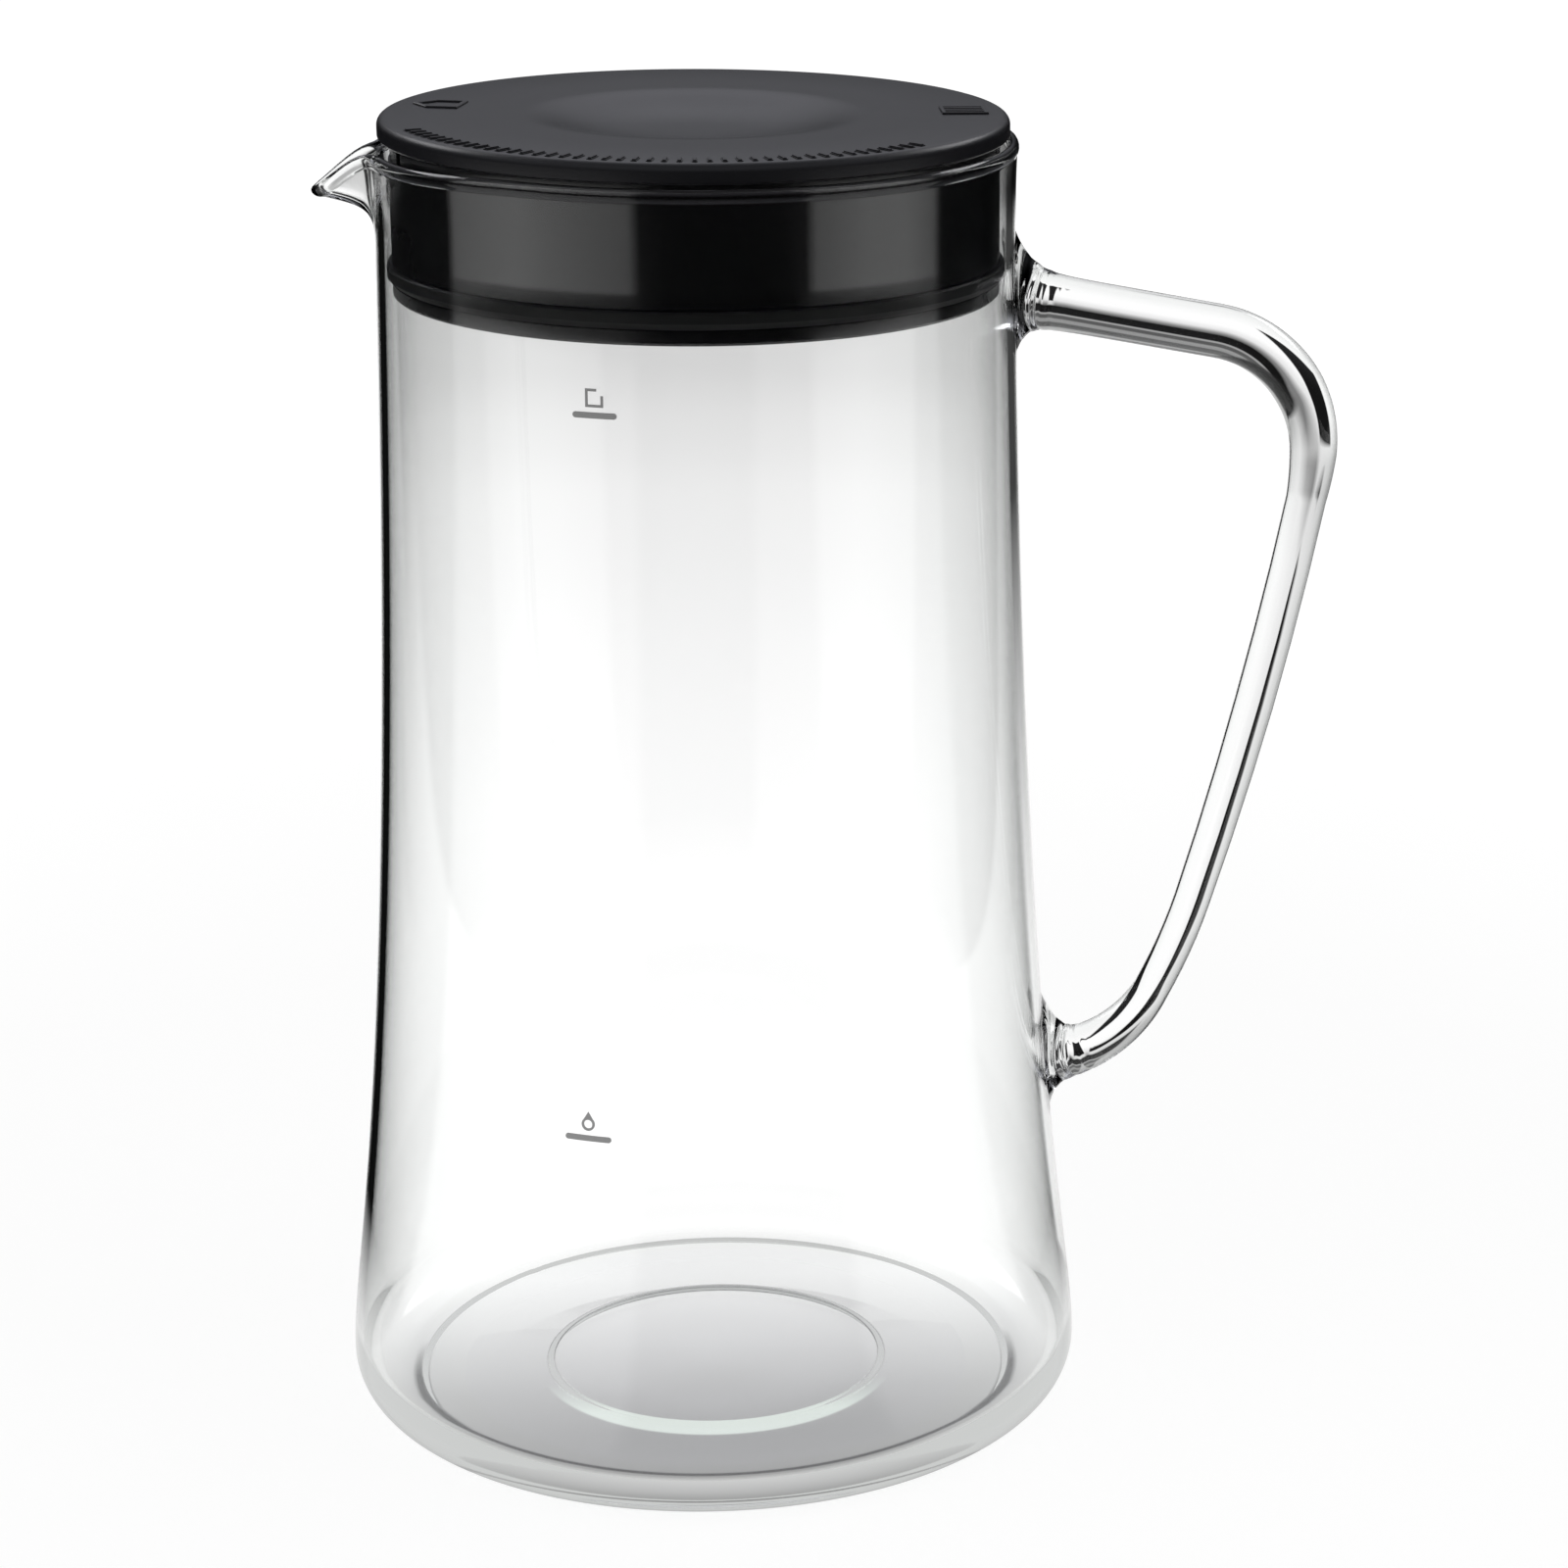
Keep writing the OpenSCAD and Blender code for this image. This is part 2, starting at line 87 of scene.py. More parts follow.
lens = bpy.data.cameras.new("portrait_lens")
lens.sensor_width = SENSOR
lens.lens = SENSOR * focal_px / PICTURE
lens.shift_x = (PICTURE / 2 - axis_px[0]) / PICTURE
lens.shift_y = (axis_px[1] - PICTURE / 2) / PICTURE
lens.clip_start, lens.clip_end = 0.05, 30
camera = bpy.data.objects.new("portrait_camera", lens)
pose = np.eye(4)
pose[:3, 0], pose[:3, 1], pose[:3, 2], pose[:3, 3] = right, up, -forward, eye
camera.matrix_world = Matrix(pose.tolist())
bpy.context.scene.collection.objects.link(camera)
bpy.context.scene.camera = camera
bpy.context.scene.view_settings.view_transform = "Standard"
print("lens %.1f mm, shift %.3f %.3f" % (lens.lens, lens.shift_x, lens.shift_y))

# %% [markdown]
# Shaders are written as small sums. The class below wraps a node's output, so that
# ordinary + - * / between two of them adds the Math node that does it.

# %% A socket that can be added and multiplied
class Sock:
    """One value inside a node tree, with arithmetic."""

    def __init__(self, tree, socket):
        self.tree, self.socket = tree, socket

    def math(self, kind, *values):
        return Shade(self.tree).node("ShaderNodeMath", {"operation": kind},
                                     dict(enumerate((self,) + values)))

    def __add__(self, o): return self.math("ADD", o)
    def __mul__(self, o): return self.math("MULTIPLY", o)
    def __sub__(self, o): return self.math("SUBTRACT", o)
    def __rsub__(self, o): return (self * -1.0).math("ADD", o)
    def __truediv__(self, o): return self.math("DIVIDE", o)
    def above(self, limit): return self.math("GREATER_THAN", limit)
    def below(self, limit): return self.math("LESS_THAN", limit)


def rgba(tone):
    """A colour with its alpha. A plain number stands for a grey, and a socket stays."""
    if isinstance(tone, Sock):
        return tone
    return (*tone, 1) if hasattr(tone, "__len__") else (tone, tone, tone, 1)


# %% [markdown]
# A second class adds the nodes. Its short methods are the few steps that every finish
# here is made of: a ramp of tones, an edge between two values, a blend of two colours.

# %% Adding nodes to a tree
class Shade:
    """Adds nodes to one tree."""

    def __init__(self, tree):
        self.tree = tree

    def node(self, kind, settings=None, inputs=None, out=0):
        n = self.tree.nodes.new(kind)
        for key, value in (settings or {}).items():
            if key == "stops":
                ramp = n.color_ramp
                while len(ramp.elements) < len(value):
                    ramp.elements.new(0.5)
                for e, (place, tone) in zip(ramp.elements, value):
                    e.position = place
                    e.color = rgba(tone)
            else:
                setattr(n, key, value)
        for key, value in (inputs or {}).items():
            if isinstance(value, Sock):
                self.tree.links.new(value.socket, n.inputs[key])
            else:
                n.inputs[key].default_value = value
        return Sock(self.tree, n.outputs[out])

    def here(self):
        """The place on the surface, in the piece's own coordinates."""
        return self.node("ShaderNodeTexCoord", out=3)

    def xyz(self, vector):
        n = self.node("ShaderNodeSeparateXYZ", inputs={0: vector}).socket.node
        return [Sock(self.tree, n.outputs[k]) for k in range(3)]

    def length(self, vector):
        return self.node("ShaderNodeVectorMath", {"operation": "LENGTH"}, {0: vector}, out=1)

    def ray(self, *names):
        """What Light Path knows about the ray that looks."""
        n = self.tree.nodes.new("ShaderNodeLightPath")
        return [Sock(self.tree, n.outputs[name]) for name in names]

    def ramp(self, value, stops):
        """A tone for each value, from (value, tone) stops."""
        return self.node("ShaderNodeValToRGB", {"stops": stops}, {0: value})

    def step(self, value, start, end, low=0.0, high=1.0):
        """Goes from low to high while the value goes from start to end."""
        return self.node("ShaderNodeMapRange",
                         inputs={0: value, 1: start, 2: end, 3: low, 4: high})

    def blend(self, share, a, b, kind="MIX"):
        """Tone a where share is 0, tone b where it is 1."""
        return self.node("ShaderNodeMix", {"data_type": "RGBA", "blend_type": kind},
                         {0: share, 6: rgba(a), 7: rgba(b)}, out=2)

    def times(self, a, b):
        return self.blend(1.0, a, b, "MULTIPLY")

    def glow(self, tone):
        return self.node("ShaderNodeEmission", inputs={"Color": rgba(tone), "Strength": 1.0})

    def clear(self, tone):
        return self.node("ShaderNodeBsdfTransparent", inputs={"Color": rgba(tone)})

    def mix(self, share, a, b):
        """Surface a where share is 0, surface b where it is 1."""
        return self.node("ShaderNodeMixShader", inputs={0: share, 1: a, 2: b})

    def spots(self, scale, detail, rough):
        """Soft noise in the piece's own coordinates; scale is in features per metre."""
        return self.node("ShaderNodeTexNoise", {"noise_dimensions": "3D"}, {
            "Vector": self.here(), "Scale": scale, "Detail": detail, "Roughness": rough})

    def finish(self, surface):
        out = self.tree.nodes.new("ShaderNodeOutputMaterial")
        self.tree.links.new(surface.socket, out.inputs["Surface"])


def new_material(name):
    m = bpy.data.materials.new(name)
    m.use_nodes = True
    m.node_tree.nodes.clear()
    return m, Shade(m.node_tree)


print("shader helpers ready")

# %% [markdown]
# The glass is clear borosilicate, fire-polished, so it has no roughness and no grain.
# What shows it on a white ground is its edges. Layer Weight darkens a band near the edge from
# any side: painted shade for the dark edges, tinted with the faint grey-green of light that runs
# a long way inside the wall. Shadow rays pass through, as they nearly do in real glass.
#
# In the thick base light can be caught: it bounces between the faces until the path is
# cut off and turns black. Two such cases are told by their counts of mirrorings and
# crossings, and they glow in the plain grey that real light would have there.

# %% Clear glass
glass_ior = 1.47
base_top, foot_start = 0.013, 0.050     # height of the base and radius of its foot, in metres
caught_grey = 0.60


def green(v):
    """A grey with the faint green of borosilicate glass seen edge-on."""
    return (v * 0.985, v, v * 0.99)


def clear_glass(name, edge_shade_stops):
    """edge_shade_stops give the share of light that enters, from face-on (0) to edge-on (1); their
    dip near the edge is painted shade.
    """
    m, s = new_material(name)
    graze = s.node("ShaderNodeLayerWeight", inputs={"Blend": 0.5}, out=1)
    glass = s.node("ShaderNodeBsdfPrincipled", inputs={
        "Base Color": s.ramp(graze, edge_shade_stops), "Roughness": 0.0, "IOR": glass_ior,
        "Transmission Weight": 1.0})
    shadow_ray, mirrorings, crossings = s.ray(
        "Is Shadow Ray", "Glossy Depth", "Transmission Depth")
    place = s.here()
    in_base = s.xyz(place)[2].below(base_top)
    # both are whole counts, so the limits lie half-way between two of them
    caught = crossings.below(1.5) * mirrorings.above(1.5)
    in_foot = crossings.above(2.5) * mirrorings.above(0.5) * s.length(place).above(foot_start)
    caught = (caught + in_foot).math("MINIMUM", 1.0) * in_base
    glass = s.mix(caught, glass, s.glow(green(caught_grey)))
    s.finish(s.mix(shadow_ray, glass, s.clear((0.93, 0.95, 0.945))))
    m.cycles.emission_sampling = "NONE"
    return m


# painted shade: each ramp darkens a band near the edge, tinted with the green of the glass
outer_glass = clear_glass("clear_blown_glass", [
    (0.0, 1.0), (0.40, green(1.0)), (0.62, green(0.99)), (0.74, green(0.94)),
    (0.785, green(0.78)), (0.86, green(0.76)), (0.90, green(0.88)), (1.0, 1.0)])
inner_glass = clear_glass("clear_inner_face", [(0.0, 1.0), (0.6, 1.0), (1.0, green(0.9))])
rod_glass = clear_glass("clear_glass_rod", [
    (0.0, 1.0), (0.42, green(0.99)), (0.55, green(0.75)), (0.66, green(0.7)), (0.78, 1.0),
    (1.0, 1.0)])
print("made", outer_glass.name, inner_glass.name, rod_glass.name)

# %% [markdown]
# The lid is a satin black moulding. Its grain is a fine spark-eroded texture that
# breaks the highlight, with faint patches where hands have polished it.

# %% Satin plastic, rubber and ink
patchy = (0.85, 1.15)       # the darkest and the lightest patch, as shares of the colour


def satin_plastic(name, colour, rough, grain, depth, grip=0.35):
    m, s = new_material(name)
    fine = s.spots(grain, 2.0, 0.6)
    broad = s.spots(28.0, 4.0, 0.55)
    bump = s.node("ShaderNodeBump", inputs={"Strength": grip, "Distance": depth, "Height": fine})
    dark, light = ([share * c for c in colour] for share in patchy)
    s.finish(s.node("ShaderNodeBsdfPrincipled", inputs={
        "Base Color": s.blend(broad, dark, light), "Roughness": broad * 0.10 + (rough - 0.05),
        "IOR": 1.5, "Normal": bump}))
    return m


def screen_ink(name, grey):
    m, s = new_material(name)
    dots = s.spots(9000.0, 2.0, 0.7)
    s.finish(s.node("ShaderNodeBsdfPrincipled", inputs={
        "Base Color": s.blend(dots, grey * patchy[0], grey * patchy[1]), "Roughness": 0.5}))
    return m


lid_plastic = satin_plastic("satin_black_plastic", (0.010, 0.010, 0.012), 0.34, 2600.0, 0.00006)
skirt_plastic = satin_plastic("smooth_black_plastic", (0.003, 0.003, 0.0035), 0.26, 1500.0,
                              0.00002, 0.08)
seal_rubber = satin_plastic("matte_black_silicone", (0.006, 0.006, 0.0065), 0.55, 3200.0,
                            0.00003)
upper_ink = screen_ink("grey_ink_upper", 0.40)
lower_ink = screen_ink("grey_ink_lower", 0.52)
print("made", lid_plastic.name, skirt_plastic.name, seal_rubber.name, upper_ink.name)

# %% [markdown]
# The pitcher's body follows one rule all the way round: a foot ring, a rounded heel, a
# wall that tapers to the neck and back down inside, and a floor with a push-up. The
# sizes below are the ones that the solids were drawn with, in millimetres.

# %% Sizes and the wall's curve
belly_radius, heel_radius, belly_pull = 70.7, 9.0, 16.0
waist_radius, waist_height = 60.5, 64.0
wall, neck_height, rim_above_neck = 1.6, 226.0, 17.4
bead_half_height, bead_half_width = 1.5, 1.05
floor_height, inside_corner, foot_inner, under_hollow = 3.6, 9.0, 58.0, 0.9
punt_radius, punt_height, floor_dome = 33.0, 2.6, 1.4
skirt_radius, skirt_gap = 54.9, 1.3
neck_inner = skirt_radius + skirt_gap
neck_radius = neck_inner + wall
band_z, rim_z = neck_height - 1, neck_height + rim_above_neck
foot_outer = belly_radius - heel_radius


def bez(a, b, c, d, t):
    return a * (1 - t) ** 3 + 3 * b * (1 - t) ** 2 * t + 3 * c * (1 - t) * t * t + d * t ** 3


curve_t = np.linspace(0, 1, 4001)
curve_r = bez(belly_radius, belly_radius, waist_radius, neck_radius, curve_t)
curve_z = bez(heel_radius, heel_radius + belly_pull, waist_height, neck_height, curve_t)


def wall_radius(z):
    return np.interp(z, curve_z, curve_r)


print("neck %.1f mm, wall at 120 mm up: %.2f mm" % (neck_radius, wall_radius(120.0)))

# %% [markdown]
# The spout isn't a separate piece on the real pitcher. The glassworker heats a finger's
# width of the rim and draws it out and down. So the wall's middle surface is pulled
# outwards by a bell-shaped share of the angle, and the wall's two faces are laid off
# square to it, which keeps the glass evenly thick in the beak.

# %% The rim's band with its drawn spout
spout_half, spout_reach, spout_dip = 60.0, 10.4, 8.2
spout_spread, spout_channel, rim_sag = 4.4, 4.0, 1.2
bead_r = neck_inner + bead_half_width + 0.04
path_z = rim_z - bead_half_height
mid_r = neck_radius - wall / 2


def smooth(u):
    u = np.clip(u, 0, 1)
    return u * u * (3 - 2 * u)


def bell(a, width, power):
    return np.exp(-(np.abs(a) / width) ** power)


def pull(a):
    """How far out the rim is drawn at an angle from the spout, as a share of its reach."""
    share = 0.8 * bell(a, spout_spread, 2.6) + 0.2 * bell(a, 1.6 * spout_spread, 2)
    return np.where(np.abs(a) >= spout_half, 0, share)


def dip(a):
    """How far down the rim hangs at an angle from the spout, in millimetres."""
    sag = rim_sag * (smooth((spout_half - np.abs(a)) / (spout_half - 20)) + bell(a, 12, 2))
    return np.where(np.abs(a) >= spout_half, 0,
                    sag + (spout_dip - 2 * rim_sag) * bell(a, spout_channel, 3))


def band_point(s, a):
    """The middle of the wall, from the band's foot (s = 0) to the rim (s = 1)."""
    top = path_z - spout_dip
    r0, z0 = mid_r + (bead_r - mid_r) * s ** 4, band_z + (path_z - band_z) * s
    r1 = bez(mid_r, mid_r, mid_r + 0.29 * spout_reach, mid_r + spout_reach, s)
    z1 = bez(band_z, top - 2.1, top - 1.8, top, s)
    r, z = r0 + pull(a) * (r1 - r0), z0 + dip(a) / spout_dip * (z1 - z0)
    turn = np.radians(a)
    return np.stack(np.broadcast_arrays(-r * np.cos(turn), -r * np.sin(turn), z), -1)


def unit(v):
    return v / np.linalg.norm(v, axis=-1, keepdims=True)


def band_frame(s, a):
    """The middle of the wall, the way up it and the way out of it."""
    along = unit(band_point(s, a + 0.05) - band_point(s, a - 0.05))
    rise = band_point(np.minimum(s + 0.01, 1), a) - band_point(np.maximum(s - 0.01, 0), a)
    rise = unit(rise - (rise * along).sum(-1, keepdims=True) * along)
    return band_point(s, a), rise, np.cross(along, rise)


print("rim %.1f mm up, spout drawn out %.1f mm" % (rim_z, spout_reach))

# %% [markdown]
# Below that band the section is the same all round. It is drawn once, as points of
# radius and height: under the foot and up outside, then down inside and over the floor.

# %% The section below the band
def rounded(corners, radius, steps=5):
    """A polyline in (radius, height) with its inner corners rounded off."""
    points = [np.array(corners[0], float)]
    for before, here, after in zip(corners, corners[1:], corners[2:]):
        before, here, after = (np.array(p, float) for p in (before, here, after))
        a, b = before - here, after - here
        cut = min(radius, 0.45 * np.linalg.norm(a), 0.45 * np.linalg.norm(b))
        a, b = here + unit(a) * cut, here + unit(b) * cut
        for t in np.linspace(0, 1, steps):
            points.append((1 - t) ** 2 * a + 2 * t * (1 - t) * here + t * t * b)
    return points + [np.array(corners[-1], float)]


wall_points, wall_crowding = 60, 1.15       # rows up the wall, closer together at the foot


def wall_heights(start, order):
    return start + (band_z - start) * (order / (wall_points + 1.0)) ** wall_crowding


under = rounded([(0, punt_height), (punt_radius - 0.6, punt_height),
                 (punt_radius, under_hollow), (foot_inner - 1.2, under_hollow),
                 (foot_inner, 0.0), (foot_outer, 0.0)], 0.7)
heel = [(foot_outer + heel_radius * math.cos(t), heel_radius * (1 + math.sin(t)))
        for t in np.radians(np.linspace(-86, 0, 16))]
outside = [(wall_radius(z), z) for z in wall_heights(heel_radius, np.arange(1, wall_points + 1))]
corner_z = floor_height + inside_corner
corner_r = wall_radius(corner_z) - wall - inside_corner
inside = [(wall_radius(z) - wall, z)
          for z in wall_heights(corner_z, np.arange(wall_points, 0, -1))]
corner = [(corner_r + inside_corner * math.cos(t), corner_z + inside_corner * math.sin(t))
          for t in np.radians(np.linspace(0, -90, 15))]
floor = [(punt_radius * u, floor_height + floor_dome * (1 + math.cos(math.pi * u)) / 2)
         for u in np.linspace(1, 0, 18)]
rows_outside = under + heel + outside + [(neck_radius, band_z)]
rows_inside = [(neck_inner, band_z)] + inside + corner + floor[1:]
print("below the band:", len(rows_outside), "points outside,", len(rows_inside), "inside")

# %% [markdown]
# The band and the rim's bead are added to the section at each angle. The columns stand
# closest together at the spout, where the glass bends most.

# %% The whole section at every angle
band_steps = np.array([0.1, 0.2, 0.3, 0.4, 0.5, 0.58, 0.66, 0.73, 0.79, 0.85, 0.9, 0.935])
bead_turns = np.radians(np.linspace(130, -130, 15))
column_gap = 1.6        # degrees between columns away from the spout


def section(a):
    """Points round the wall's section at an angle from the spout, and how many lie outside."""
    turn = math.radians(a)
    side = np.array([-math.cos(turn), -math.sin(turn), 0])

    def ring(points):
        return [p[0] * side + np.array([0, 0, p[1]]) for p in points]

    mid, _, out = band_frame(band_steps, np.full(len(band_steps), float(a)))
    tip, rise, away = band_frame(np.array(1.0), np.array(float(a)))
    bead = [tip + bead_half_width * math.sin(b) * away + bead_half_height * math.cos(b) * rise
            for b in bead_turns]
    outer = ring(rows_outside) + list(mid + wall / 2 * out) + bead
    return outer + list((mid - wall / 2 * out)[::-1]) + ring(rows_inside), len(outer)


u = np.arange(-40, 41) / 40.0
near = np.sign(u) * spout_half * (0.27 * np.abs(u) + 0.73 * np.abs(u) ** 2.4)
far = np.arange(spout_half + column_gap, 360 - spout_half - 0.1, column_gap)
columns = [np.array(section(a)[0]) for a in np.concatenate([near, far])]
outer_rows = section(0.0)[1]
print("wall section of", len(columns[0]), "points,", len(columns), "columns round")

# %% [markdown]
# The columns are joined into one closed skin. Its inner face wears a glass of its own,
# because on the real pitcher only the outer face shows the dark edge.

# %% Build the vessel's mesh
def mesh_object(name, verts, faces, material):
    mesh = bpy.data.meshes.new(name)
    mesh.from_pydata([tuple(v) for v in verts], [], faces)
    mesh.validate()
    mesh.materials.append(material)
    obj = bpy.data.objects.new(name, mesh)
    bpy.context.scene.collection.objects.link(obj)
    return obj


def tidy_mesh(obj, angle=None, merge=1e-7):
    """Merges doubles, turns the faces outwards and shades smoothly, sharp past an angle."""
    bm = bmesh.new()
    bm.from_mesh(obj.data)
    bmesh.ops.remove_doubles(bm, verts=bm.verts, dist=merge)
    bmesh.ops.recalc_face_normals(bm, faces=bm.faces)
    bm.to_mesh(obj.data)
    bm.free()
    obj.data.polygons.foreach_set("use_smooth", [True] * len(obj.data.polygons))
    if angle is not None:
        obj.data.set_sharp_from_angle(angle=math.radians(angle))
    obj.data.update()
    return obj


rows = len(columns[0])
faces = []
for j in range(len(columns)):
    a, b = j * rows, ((j + 1) % len(columns)) * rows
    for i in range(rows - 1):
        faces.append((a + i, b + i, b + i + 1, a + i + 1))
vessel = mesh_object("glass_vessel", np.concatenate(columns) * MM, faces, outer_glass)
vessel.data.materials.append(inner_glass)
for k, face in enumerate(vessel.data.polygons):
    face.material_index = 1 if k % (rows - 1) >= outer_rows else 0
tidy_mesh(vessel)
print("vessel:", len(vessel.data.polygons), "faces")

# %% [markdown]
# The handle is a solid glass rod, bent hot and pressed onto the wall at both ends. Its
# path is a straight arm and five bends. Geometry Nodes sweep a circle along it, with the
# rod's thickness as a value on each point of the path, so that the arm, the slim grip and
# the spreading pads come from one sweep.

# %% The handle's path
arm_rod, grip_rod, arm_height, arm_slope, arm_length = 5.0, 3.8, 214.4, 10.3, 38.9
bends = [(22.6, 82.9), (63.0, 7.7), (740.0, 6.3), (108.0, 10.6)]    # radius and angle
upper_pad, lower_pad, pad_fall, toe_heading = 14.0, 13.0, 2.4, 176.0
pad_zone = 4.6 * pad_fall


def heading(a):
    return np.array([math.cos(math.radians(a)), -math.sin(math.radians(a))])


def turned(p, h, r, a):
    """Where a bend of radius r leads after the angle a, from the point p and heading h."""
    h0, h1 = math.radians(h), math.radians(h + a)
    return p + r * np.array([math.sin(h1) - math.sin(h0), math.cos(h1) - math.cos(h0)])


def wall_mid(z):
    return wall_radius(z) - wall / 2


at, way, travelled = np.array([wall_mid(arm_height), arm_height]), arm_slope, 0.0
path = [(at + d * heading(way), way, d) for d in
        np.concatenate([np.linspace(0, pad_zone, 60),
                        np.linspace(pad_zone, arm_length, 12)[1:]])]
at, travelled = path[-1][0], arm_length
for radius, angle in bends:
    count = max(6, int(angle / 2.6))
    for i in range(1, count + 1):
        path.append((turned(at, way, radius, angle * i / count), way + angle * i / count,
                     travelled + math.radians(angle * i / count) * radius))
    at, way, travelled = path[-1]

# %% [markdown]
# The last bend is the toe. Its radius has to bring the rod to the wall, whose own radius
# depends on the height where it lands, so the two are found together in a few rounds.

# %% The toe and the rod's thickness
landing = waist_height
for _ in range(8):
    toe_radius = (at[0] - wall_mid(landing)) / (
        math.sin(math.radians(way)) - math.sin(math.radians(toe_heading)))
    landing = at[1] + toe_radius * (
        math.cos(math.radians(toe_heading)) - math.cos(math.radians(way)))
toe_angle = toe_heading - way
toe_length = math.radians(toe_angle) * toe_radius
for d in np.concatenate([np.linspace(0, toe_length - pad_zone, 14)[1:],
                         np.linspace(toe_length - pad_zone, toe_length, 60)[1:]]):
    a = toe_angle * d / toe_length
    path.append((turned(at, way, toe_radius, a), way + a, travelled + d))
total = path[-1][2]

h1, h2, h3, h4 = np.cumsum([arm_slope] + [angle for _, angle in bends])[1:]
rod_by_heading = [
    (arm_slope, arm_rod), (arm_slope + bends[0][1] * 0.6, arm_rod - 0.1),
    (h1, (arm_rod + grip_rod) / 2), (h2, grip_rod), ((h2 + h3) / 2, grip_rod),
    (h3, grip_rod - 0.25), (h4, grip_rod - 0.25), (h4 + toe_angle * 0.4, grip_rod + 0.4),
    (toe_heading, arm_rod)]


def pad(d, width, rod):
    """What the rod gains at a distance d from the wall, where it was pressed on."""
    return (width - rod) * math.exp(-d / pad_fall) if d <= 2.2 * pad_zone else 0.0


thickness = []
for _, way, d in path:
    rod = float(np.interp(way, *zip(*rod_by_heading)))
    thickness.append(rod + pad(d, upper_pad, rod) + pad(total - d, lower_pad, rod))
print("handle path: %d points, %.0f mm long, toe lands %.1f mm up" % (
    len(path), total, landing))

# %% [markdown]
# Geometry Nodes make the rod and, later, the row of bars on the lid. The helper below
# names the inputs of a tree, runs it, and keeps the result as a plain mesh.

# %% A helper for Geometry Nodes
class Tree:
    """A Geometry Nodes tree with named inputs."""

    def __init__(self, name, inputs):
        self.tree = bpy.data.node_groups.new(name, "GeometryNodeTree")
        face = self.tree.interface
        face.new_socket("Geometry", in_out="INPUT", socket_type="NodeSocketGeometry")
        self.ids = {}
        for label, (kind, value) in inputs.items():
            socket = face.new_socket(label, in_out="INPUT", socket_type=kind)
            if value is not None:
                socket.default_value = value
            self.ids[label] = socket.identifier
        face.new_socket("Geometry", in_out="OUTPUT", socket_type="NodeSocketGeometry")
        self.entry = self.tree.nodes.new("NodeGroupInput")
        self.exit = self.tree.nodes.new("NodeGroupOutput")

    def into(self, name):
        return Sock(self.tree, self.entry.outputs[name])

    def node(self, *args, **kwargs):
        return Shade(self.tree).node(*args, **kwargs)

    def end(self, geometry):
        real = self.node("GeometryNodeRealizeInstances", inputs={0: geometry})
        done = self.node("GeometryNodeSetMaterial",
                         inputs={0: real, "Material": self.into("Finish")})
        self.tree.links.new(done.socket, self.exit.inputs[0])


def grow(name, source, tree, values, material):
    """Runs the tree on a source object and keeps the result as a plain mesh."""
    mod = source.modifiers.new("grow", "NODES")
    mod.node_group = tree.tree
    for label, value in values.items():
        mod[tree.ids[label]] = value
    mod[tree.ids["Finish"]] = material
    bpy.context.view_layer.update()
    done = source.evaluated_get(bpy.context.evaluated_depsgraph_get())
    mesh = bpy.data.meshes.new_from_object(done)
    source.modifiers.clear()
    bpy.data.objects.remove(source)
    obj = bpy.data.objects.new(name, mesh)
    if not mesh.materials:
        mesh.materials.append(material)
    bpy.context.scene.collection.objects.link(obj)
    print(name, "grown:", len(mesh.vertices), "points")
    return obj


print("geometry helper ready")

# %% [markdown]
# The sweep reads the rod's thickness from each point of the path. The distance along the
# path rides along as well, because the next step needs it.

# %% Sweep the rod with Geometry Nodes
sweep = Tree("swept_rod", {"Sides": ("NodeSocketInt", 48), "Finish": ("NodeSocketMaterial", None)})
line = sweep.node("GeometryNodeMeshToCurve", inputs={0: sweep.into("Geometry")})
thick = sweep.node("GeometryNodeInputNamedAttribute", {"data_type": "FLOAT"}, {"Name": "rod"})
line = sweep.node("GeometryNodeSetCurveRadius", inputs={0: line, "Radius": thick})
ring = sweep.node("GeometryNodeCurvePrimitiveCircle", {"mode": "RADIUS"},
                  {"Resolution": sweep.into("Sides"), "Radius": 1.0})
tube = sweep.node("GeometryNodeCurveToMesh")
tube_node = tube.socket.node
sweep.tree.links.new(line.socket, tube_node.inputs["Curve"])
sweep.tree.links.new(ring.socket, tube_node.inputs["Profile Curve"])
tube_node.inputs["Fill Caps"].default_value = True
if "Scale" in tube_node.inputs:
    sweep.tree.links.new(thick.socket, tube_node.inputs["Scale"])
sweep.end(tube)

wire = bpy.data.meshes.new("handle_path")
wire.from_pydata([(p[0] * MM, 0, p[1] * MM) for p, _, _ in path],
                 [(i, i + 1) for i in range(len(path) - 1)], [])
for label, values in (("rod", [r * MM for r in thickness]), ("run", [d for _, _, d in path])):
    wire.attributes.new(label, "FLOAT", "POINT").data.foreach_set("value", values)
source = bpy.data.objects.new("handle_path", wire)
bpy.context.scene.collection.objects.link(source)
handle = grow("glass_handle_rod", source, sweep, {"Sides": 64}, rod_glass)

# %% [markdown]
# Where the rod was pressed on, its root lies on the round wall and not on a flat disc.
# So near each end the swept points are slid towards the wall's own curve. Soft folds
# run round the root, as the hot glass rolled outwards when it was pressed. They bow
# towards the wall on the two flanks.

# %% Press the roots onto the wall
fold_pitch, fold_depth, fold_bow = 2.2, 0.22, 0.55
fold_start, fold_rise, fold_end, fold_fade = 0.8, 1.2, 4.5, 5.5
hair_depth, hair_pitch, calm_top = 0.18, 0.45, 0.3      # as shares of the folds' own
upper_lean, lower_lean, lean_fall = 0.9, 2.4, 4.5

